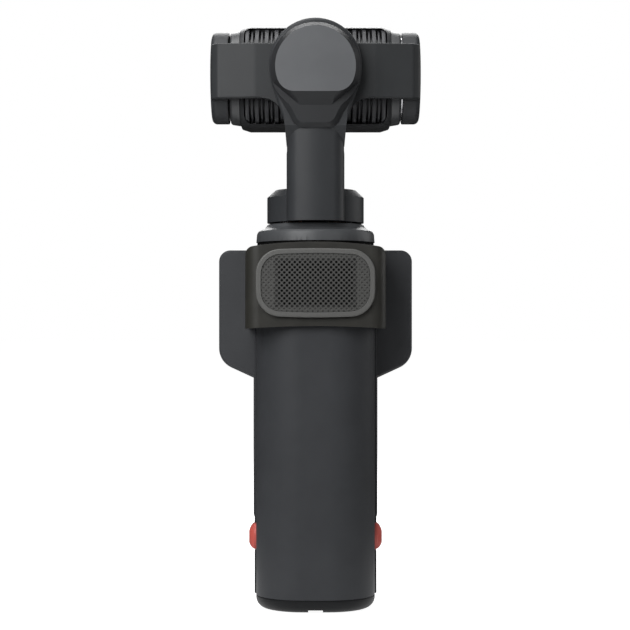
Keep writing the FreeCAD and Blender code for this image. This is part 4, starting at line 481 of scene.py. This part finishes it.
def pierced_mask(tree):
    """1 in the middle of the plate, where the holes go through and a ring of painted shade darkens each.
    """
    split = tree.nodes.new("ShaderNodeSeparateXYZ")
    tree.links.new(object_space(tree, (MM_PER_METRE,) * 3), split.inputs[0])
    up = calc(tree, "SUBTRACT", split.outputs["Z"], GRILLE_CENTRE)
    wide = calc(tree, "LESS_THAN", calc(tree, "ABSOLUTE", split.outputs["X"]), PIERCED_HALF_WIDTH)
    tall = calc(tree, "LESS_THAN", calc(tree, "ABSOLUTE", up), PIERCED_HALF_HEIGHT)
    return calc(tree, "MULTIPLY", wide, tall)


def grille_finish(name, colour, dimples):
    material, tree, shader = start_finish(name)
    fleck = noise(tree, size_mm=0.2, detail=2.0)
    if dimples:
        # The dimples are darkened as painted shade, and so is a ring round each pierced hole.
        dots = dimple_mask(tree, DIMPLE_RADIUS)
        hole_shade = calc(tree, "MULTIPLY", dimple_mask(tree, HOLE_SHADE_RADIUS), pierced_mask(tree))
        dark = calc(tree, "MAXIMUM", calc(tree, "MULTIPLY", dots, DIMPLE_SHADE), hole_shade)
        tree.links.new(two_tone(tree, dark, colour, shade_of(colour, 0.05)), shader.inputs["Base Color"])
        height = calc(tree, "SUBTRACT", calc(tree, "MULTIPLY", fleck, 0.08), dots)
        grain(tree, shader, height, depth_mm=0.12, strength=0.8)
    else:
        tree.links.new(two_tone(tree, spread(tree, fleck, 0.0, 1.0), shade_of(colour, 0.95),
                                shade_of(colour, 1.05)), shader.inputs["Base Color"])
        grain(tree, shader, fleck, depth_mm=0.006, strength=0.5)
    tree.links.new(spread(tree, fleck, 0.38, 0.48), shader.inputs["Roughness"])
    shader.inputs["Specular IOR Level"].default_value = 0.45
    return material


grille_plate_paint = grille_finish("grille_plate_paint", (0.062, 0.062, 0.059), dimples=True)
grille_rim_paint = grille_finish("grille_rim_paint", (0.100, 0.100, 0.096), dimples=False)

THREAD_MM = 0.18


def cloth_finish():
    """Woven black cloth behind the open holes."""
    material, tree, shader = start_finish("speaker_cloth")
    weave = tree.nodes.new("ShaderNodeTexVoronoi")
    weave.inputs["Scale"].default_value = MM_PER_METRE / THREAD_MM
    tree.links.new(object_space(tree), weave.inputs["Vector"])
    tone = two_tone(tree, weave.outputs["Distance"], (0.004, 0.004, 0.004), (0.010, 0.010, 0.010))
    tree.links.new(tone, shader.inputs["Base Color"])
    shader.inputs["Roughness"].default_value = 0.9
    shader.inputs["Specular IOR Level"].default_value = 0.1
    grain(tree, shader, weave.outputs["Distance"], depth_mm=0.03, strength=0.8)
    return material


speaker_cloth = cloth_finish()
print(len(bpy.data.materials), "finishes so far")

# %% [markdown]
# Glass needs few nodes. The lens glass is clear with a faint coating, and the cover of the screen is
# printed black behind, so it is a deep gloss. A faint smear in the roughness keeps both real.

# %% Glass finishes
def glass_finish(name, colour, transmission, roughness, coat_tint):
    material, tree, shader = start_finish(name)
    smear = noise(tree, size_mm=7.0, detail=4.0)
    tree.links.new(two_tone(tree, spread(tree, smear, 0.0, 1.0), colour, shade_of(colour, 0.9)),
                   shader.inputs["Base Color"])
    tree.links.new(spread(tree, smear, roughness, roughness + 0.03), shader.inputs["Roughness"])
    shader.inputs["Transmission Weight"].default_value = transmission
    shader.inputs["IOR"].default_value = 1.5
    shader.inputs["Coat Weight"].default_value = 0.5
    shader.inputs["Coat Roughness"].default_value = 0.02
    shader.inputs["Coat Tint"].default_value = (*coat_tint, 1)
    return material


lens_coating = glass_finish("lens_coating", (0.80, 0.84, 0.92), 1.0, 0.0, (0.75, 0.85, 1.0))
element_glass = glass_finish("element_glass", (0.012, 0.014, 0.030), 0.0, 0.04, (0.7, 0.8, 1.0))
cover_glass = glass_finish("cover_glass", (0.008, 0.008, 0.010), 0.0, 0.03, (1.0, 1.0, 1.0))
display_black = glass_finish("display_black", (0.010, 0.010, 0.013), 0.0, 0.12, (1.0, 1.0, 1.0))
print(len(bpy.data.materials), "finishes")

# %% [markdown]
# ## Pieces
# The solids have the right places and sizes, with few rounded edges. A real moulding has no
# knife edges, and the thin bright lines along them are half of its look. So a copy of each visible
# solid is welded, its flat triangles are joined into faces, and its sharp edges get a small bevel.
# Weighted normals keep the large faces flat in the light. Each copy stands for its CAD node.

# %% Soft-edged copies
WELD_DISTANCE = 0.0005
FLAT_DEGREES = 0.6
SHARP_DEGREES = 32


def finish_piece(bm, name, body, nodes, finishes):
    """Turn a finished bmesh into a visible piece on its body, in place of its CAD nodes."""
    mesh = bpy.data.meshes.new(name)
    bm.to_mesh(mesh)
    bm.free()
    for face in mesh.polygons:
        face.use_smooth = True
    for finish in finishes:
        mesh.materials.append(finish)
    piece = bpy.data.objects.new(name, mesh)
    bpy.context.collection.objects.link(piece)
    weights = piece.modifiers.new("flat faces", "WEIGHTED_NORMAL")
    weights.keep_sharp = True
    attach(piece, body)
    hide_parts(*nodes)
    print(name, "on", body, "with", len(mesh.polygons), "faces")


def welded(node):
    """A copy of a CAD node with its loose triangles joined."""
    bm = bmesh.new()
    bm.from_mesh(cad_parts[node].data)
    bmesh.ops.remove_doubles(bm, verts=bm.verts, dist=WELD_DISTANCE * MM)
    bmesh.ops.dissolve_limit(bm, angle_limit=math.radians(FLAT_DEGREES), verts=bm.verts, edges=bm.edges)
    return bm


def round_edges(bm, width_mm, segments=3, sharper_than=SHARP_DEGREES, chooser=None):
    """Bevel the edges over sharper_than degrees that chooser accepts, and return how many they are."""
    sharp = [e for e in bm.edges if len(e.link_faces) == 2
             and e.calc_face_angle(0) > math.radians(sharper_than)
             and (chooser is None or chooser(e))]
    bmesh.ops.bevel(bm, geom=sharp, offset=width_mm * MM, offset_type="OFFSET", affect="EDGES",
                    segments=segments, profile=0.5, material=-1, clamp_overlap=True)
    return len(sharp)


def softened(node, name, body, finish, width_mm, segments=3):
    """A copy of a CAD node with all its sharp edges rounded."""
    bm = welded(node)
    print(round_edges(bm, width_mm, segments), "edges rounded:", end=" ")
    finish_piece(bm, name, body, [node], [finish])


# %% [markdown]
# The grip is two mouldings with a seam along its sides, and a base cap under a thin black gap. The
# smoke-tinted saddle goes round its top.

# %% Grip
softened("rear_shell", "grip_rear_shell", "grip", grip_plastic, 0.20)
softened("front_frame", "grip_front_frame", "grip", frame_plastic, 0.30)
softened("base_cap", "grip_base_cap", "grip", base_plastic, 0.15)
softened("saddle", "top_saddle", "grip", saddle_smoke, 0.40)

# %% [markdown]
# The grille's rim has a wide soft edge outside and a fine one at the window. The outer edges are those
# beyond a squircle that lies between the two outlines.

# %% Grille rim
RIM_HALF_WIDTH = 16.0
RIM_HALF_HEIGHT = 9.3
OUTER_SHARE = 0.86


def on_outer_edge(edge):
    """An edge near or beyond the squircle of the rim's half width and half height."""
    shares = [(v.co.x / MM / RIM_HALF_WIDTH) ** 4
              + ((v.co.z / MM - GRILLE_CENTRE) / RIM_HALF_HEIGHT) ** 4 for v in edge.verts]
    return min(shares) > OUTER_SHARE


bm = welded("grille_frame")
round_edges(bm, 0.40, chooser=on_outer_edge)
round_edges(bm, 0.10, segments=2)
finish_piece(bm, "grille_rim", "grip", ["grille_frame"], [grille_rim_paint])

# %% [markdown]
# The neck ring ends in a shadow gap above the saddle. Its wall is cut across twice, close together, and
# what lies below the cuts is drawn in a little, so a step stands over the gap. The faces below the step
# are painted near-black as the gap's shadow.

# %% Neck ring with its seam
NECK_SEAM = 100.72
SEAM_STEP = 0.05
SEAM_DEPTH = 0.30
NECK_WALL_REACH = 15.8
CUT_TOLERANCE = 0.0001


def cut_across(bm, place, normal):
    """Cut all faces along a plane and keep both sides."""
    bmesh.ops.bisect_plane(bm, geom=bm.verts[:] + bm.edges[:] + bm.faces[:],
                           dist=CUT_TOLERANCE * MM, plane_co=place, plane_no=normal)


bm = welded("neck_ring")
round_edges(bm, 0.25)
for level in (NECK_SEAM, NECK_SEAM - SEAM_STEP):
    cut_across(bm, (0, 0, level * MM), (0, 0, 1))
for vert in bm.verts:
    reach = math.hypot(vert.co.x, vert.co.y)
    if reach > NECK_WALL_REACH * MM and vert.co.z < (NECK_SEAM - SEAM_STEP / 2) * MM:
        vert.co.x *= 1 - SEAM_DEPTH * MM / reach
        vert.co.y *= 1 - SEAM_DEPTH * MM / reach
# The faces below the step take the near-black paint, as painted shadow of the gap.
for face in bm.faces:
    middle = face.calc_center_median()
    if math.hypot(middle.x, middle.y) > NECK_WALL_REACH * MM and middle.z < NECK_SEAM * MM:
        face.material_index = 1
finish_piece(bm, "neck_collar", "grip", ["neck_ring"], [neck_paint, gap_shadow_paint])

# %% [markdown]
# The release keys are small rounded blocks. The part that stands out of the grip narrows in a curve
# towards the finger, so it is cut into slices, and each slice is a little smaller than the one inside.

# %% Release keys
KEY_FOOT = 16.4
KEY_REACH = 18.4
KEY_LEVELS = (KEY_FOOT, 16.9, 17.3, 17.7, 18.0, 18.25)
KEY_FOOT_HEIGHT = 0.96
KEY_DEPTH_TAPER = 0.22
KEY_HEIGHT_TAPER = 0.34


def narrowed(values, value, share):
    """value moved towards the middle of the range of values."""
    middle = (min(values) + max(values)) / 2
    return middle + (value - middle) * share


for side in ("left", "right"):
    bm = welded(f"release_button_{side}")
    sign = -1 if side == "left" else 1
    for level in KEY_LEVELS:
        cut_across(bm, (sign * level * MM, 0, 0), (1, 0, 0))
    shown = [v for v in bm.verts if abs(v.co.x) > (KEY_FOOT - 0.01) * MM]
    depths, heights = [v.co.y for v in shown], [v.co.z for v in shown]
    for vert in shown:
        out = (abs(vert.co.x) / MM - KEY_FOOT) / (KEY_REACH - KEY_FOOT)
        vert.co.y = narrowed(depths, vert.co.y, 1 - KEY_DEPTH_TAPER * out * out)
        vert.co.z = narrowed(heights, vert.co.z, KEY_FOOT_HEIGHT - KEY_HEIGHT_TAPER * out * out)
    finish_piece(bm, f"release_key_{side}", f"release_{side}", [f"release_button_{side}"],
                 [release_paint])

# %% [markdown]
# The arm is one casting: a collar round the pan motor, a stem and the housing of the roll motor.
# The keyhole lid's disc gets a second material: the lid's paint made lighter as a painted sheen, and a
# little glossier.

# %% Arm and lid
SAME_LEVEL = 0.02

softened("arm", "pan_arm_casting", "pan_arm", arm_paint, 0.35)
bm = welded("roll_lid")
round_edges(bm, 0.12, segments=2)
disc_level = min(v.co.y for v in bm.verts)
# The faces of the flat disc take the lighter copy with its painted sheen.
for face in bm.faces:
    if abs(face.calc_center_median().y - disc_level) < SAME_LEVEL * MM:
        face.material_index = 1
finish_piece(bm, "roll_motor_lid", "pan_arm", ["roll_lid"], [lid_paint, disc_sheen_paint])

# %% [markdown]
# The yoke carries the camera between two round caps, which hold the tilt motor and its bearing. It is a
# bent strip, so the gentle bends get a wide round first, and the sharp edges a small one after it.

# %% Yoke and caps
BEND_DEGREES = 5
BEND_WIDTH = 3.5
BEND_SEGMENTS = 8
UPRIGHT_LEAN = 0.05


def upright_bend(edge):
    """An upright edge where two flat parts of the strip meet at a gentle angle."""
    first, last = (v.co for v in edge.verts)
    upright = math.hypot(first.x - last.x, first.y - last.y) < UPRIGHT_LEAN * MM
    return upright and edge.calc_face_angle(0) < math.radians(SHARP_DEGREES)


bm = welded("yoke")
bends = round_edges(bm, BEND_WIDTH, BEND_SEGMENTS, sharper_than=BEND_DEGREES, chooser=upright_bend)
print(bends, "bends rounded")
round_edges(bm, 0.30)
finish_piece(bm, "roll_yoke_strip", "roll_yoke", ["yoke"], [yoke_paint])
softened("tilt_cap_left", "tilt_cap_left_cover", "roll_yoke", arm_paint, 0.20)
softened("tilt_cap_right", "tilt_cap_right_cover", "roll_yoke", arm_paint, 0.20)

# %% [markdown]
# The camera has a finned heat sink in its back, a cheek at each side and two lenses in front.

# %% Camera
softened("camera_rear_housing", "camera_back", "camera", camera_paint, 0.35)
softened("camera_front_housing", "camera_face", "camera", camera_paint, 0.30)
softened("camera_cheeks", "camera_side_cheeks", "camera", cheek_paint, 0.15)
softened("heat_sink", "finned_heat_sink", "camera", fin_paint, 0.10, 2)
softened("lens_barrel_main", "main_lens_barrel", "camera", black_metal, 0.15)
softened("lens_barrel_tele", "tele_lens_barrel", "camera", black_metal, 0.15)

# %% [markdown]
# The screen unit is a tray with a face in front. Its keys, stick and glass sit in the face.

# %% Screen unit
softened("screen_unit_back", "screen_unit_tray", "screen_unit", unit_plastic, 0.20)
softened("screen_unit_front", "screen_unit_face", "screen_unit", unit_face_plastic, 0.15)
softened("record_button", "record_key_cap", "record_key", key_plastic, 0.20)
softened("power_key", "power_key_cap", "power_key", key_plastic, 0.15)
softened("stick", "control_stick", "stick_lever", stick_rubber, 0.15)

# %% [markdown]
# The other solids are right as they are and take only a finish.

# %% Finishes on the other solids
FINISHES = {
    "grille_plate": grille_plate_paint, "acoustic_cloth": speaker_cloth,
    "base_screws": turned_steel, "tripod_insert": turned_brass, "charging_port": port_steel,
    "battery_pack": battery_film, "battery_cradle": inner_plastic, "main_board": board_green,
    "speaker": inner_plastic, "dock_contacts": turned_brass, "dock_magnets": magnet_nickel,
    "release_springs": turned_steel, "button_bracket": inner_plastic,
    "pan_stator": copper_winding, "pan_bearings": turned_steel, "pan_magnet_ring": magnet_nickel,
    "pan_shaft": turned_steel, "roll_stator": copper_winding, "roll_bearings": turned_steel,
    "roll_magnet_ring": magnet_nickel, "roll_shaft": turned_steel, "tilt_stator": copper_winding,
    "tilt_bearings": turned_steel, "tilt_magnet_ring": magnet_nickel, "tilt_shafts": turned_steel,
    "sensor_board": board_green, "lens_glasses": lens_coating, "lens_elements": element_glass,
    "screen_glass": cover_glass, "display_panel": display_black, "screen_unit_contacts": turned_brass,
    "unit_board": board_green, "unit_battery": battery_film, "unit_switches": inner_plastic,
    "stick_base": inner_plastic, "stick_ring": black_metal,
}
for node, finish in FINISHES.items():
    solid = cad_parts[node]
    if not solid.material_slots:
        solid.data.materials.append(finish)
    for material_slot in solid.material_slots:
        material_slot.material = finish
bare = [n for n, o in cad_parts.items() if n not in FINISHES and not o.hide_render]
print("solids without a finish:", bare)

# %% [markdown]
# ## Close
# The view settings stay plain.

# %% View settings
bpy.context.scene.view_settings.view_transform = "Standard"
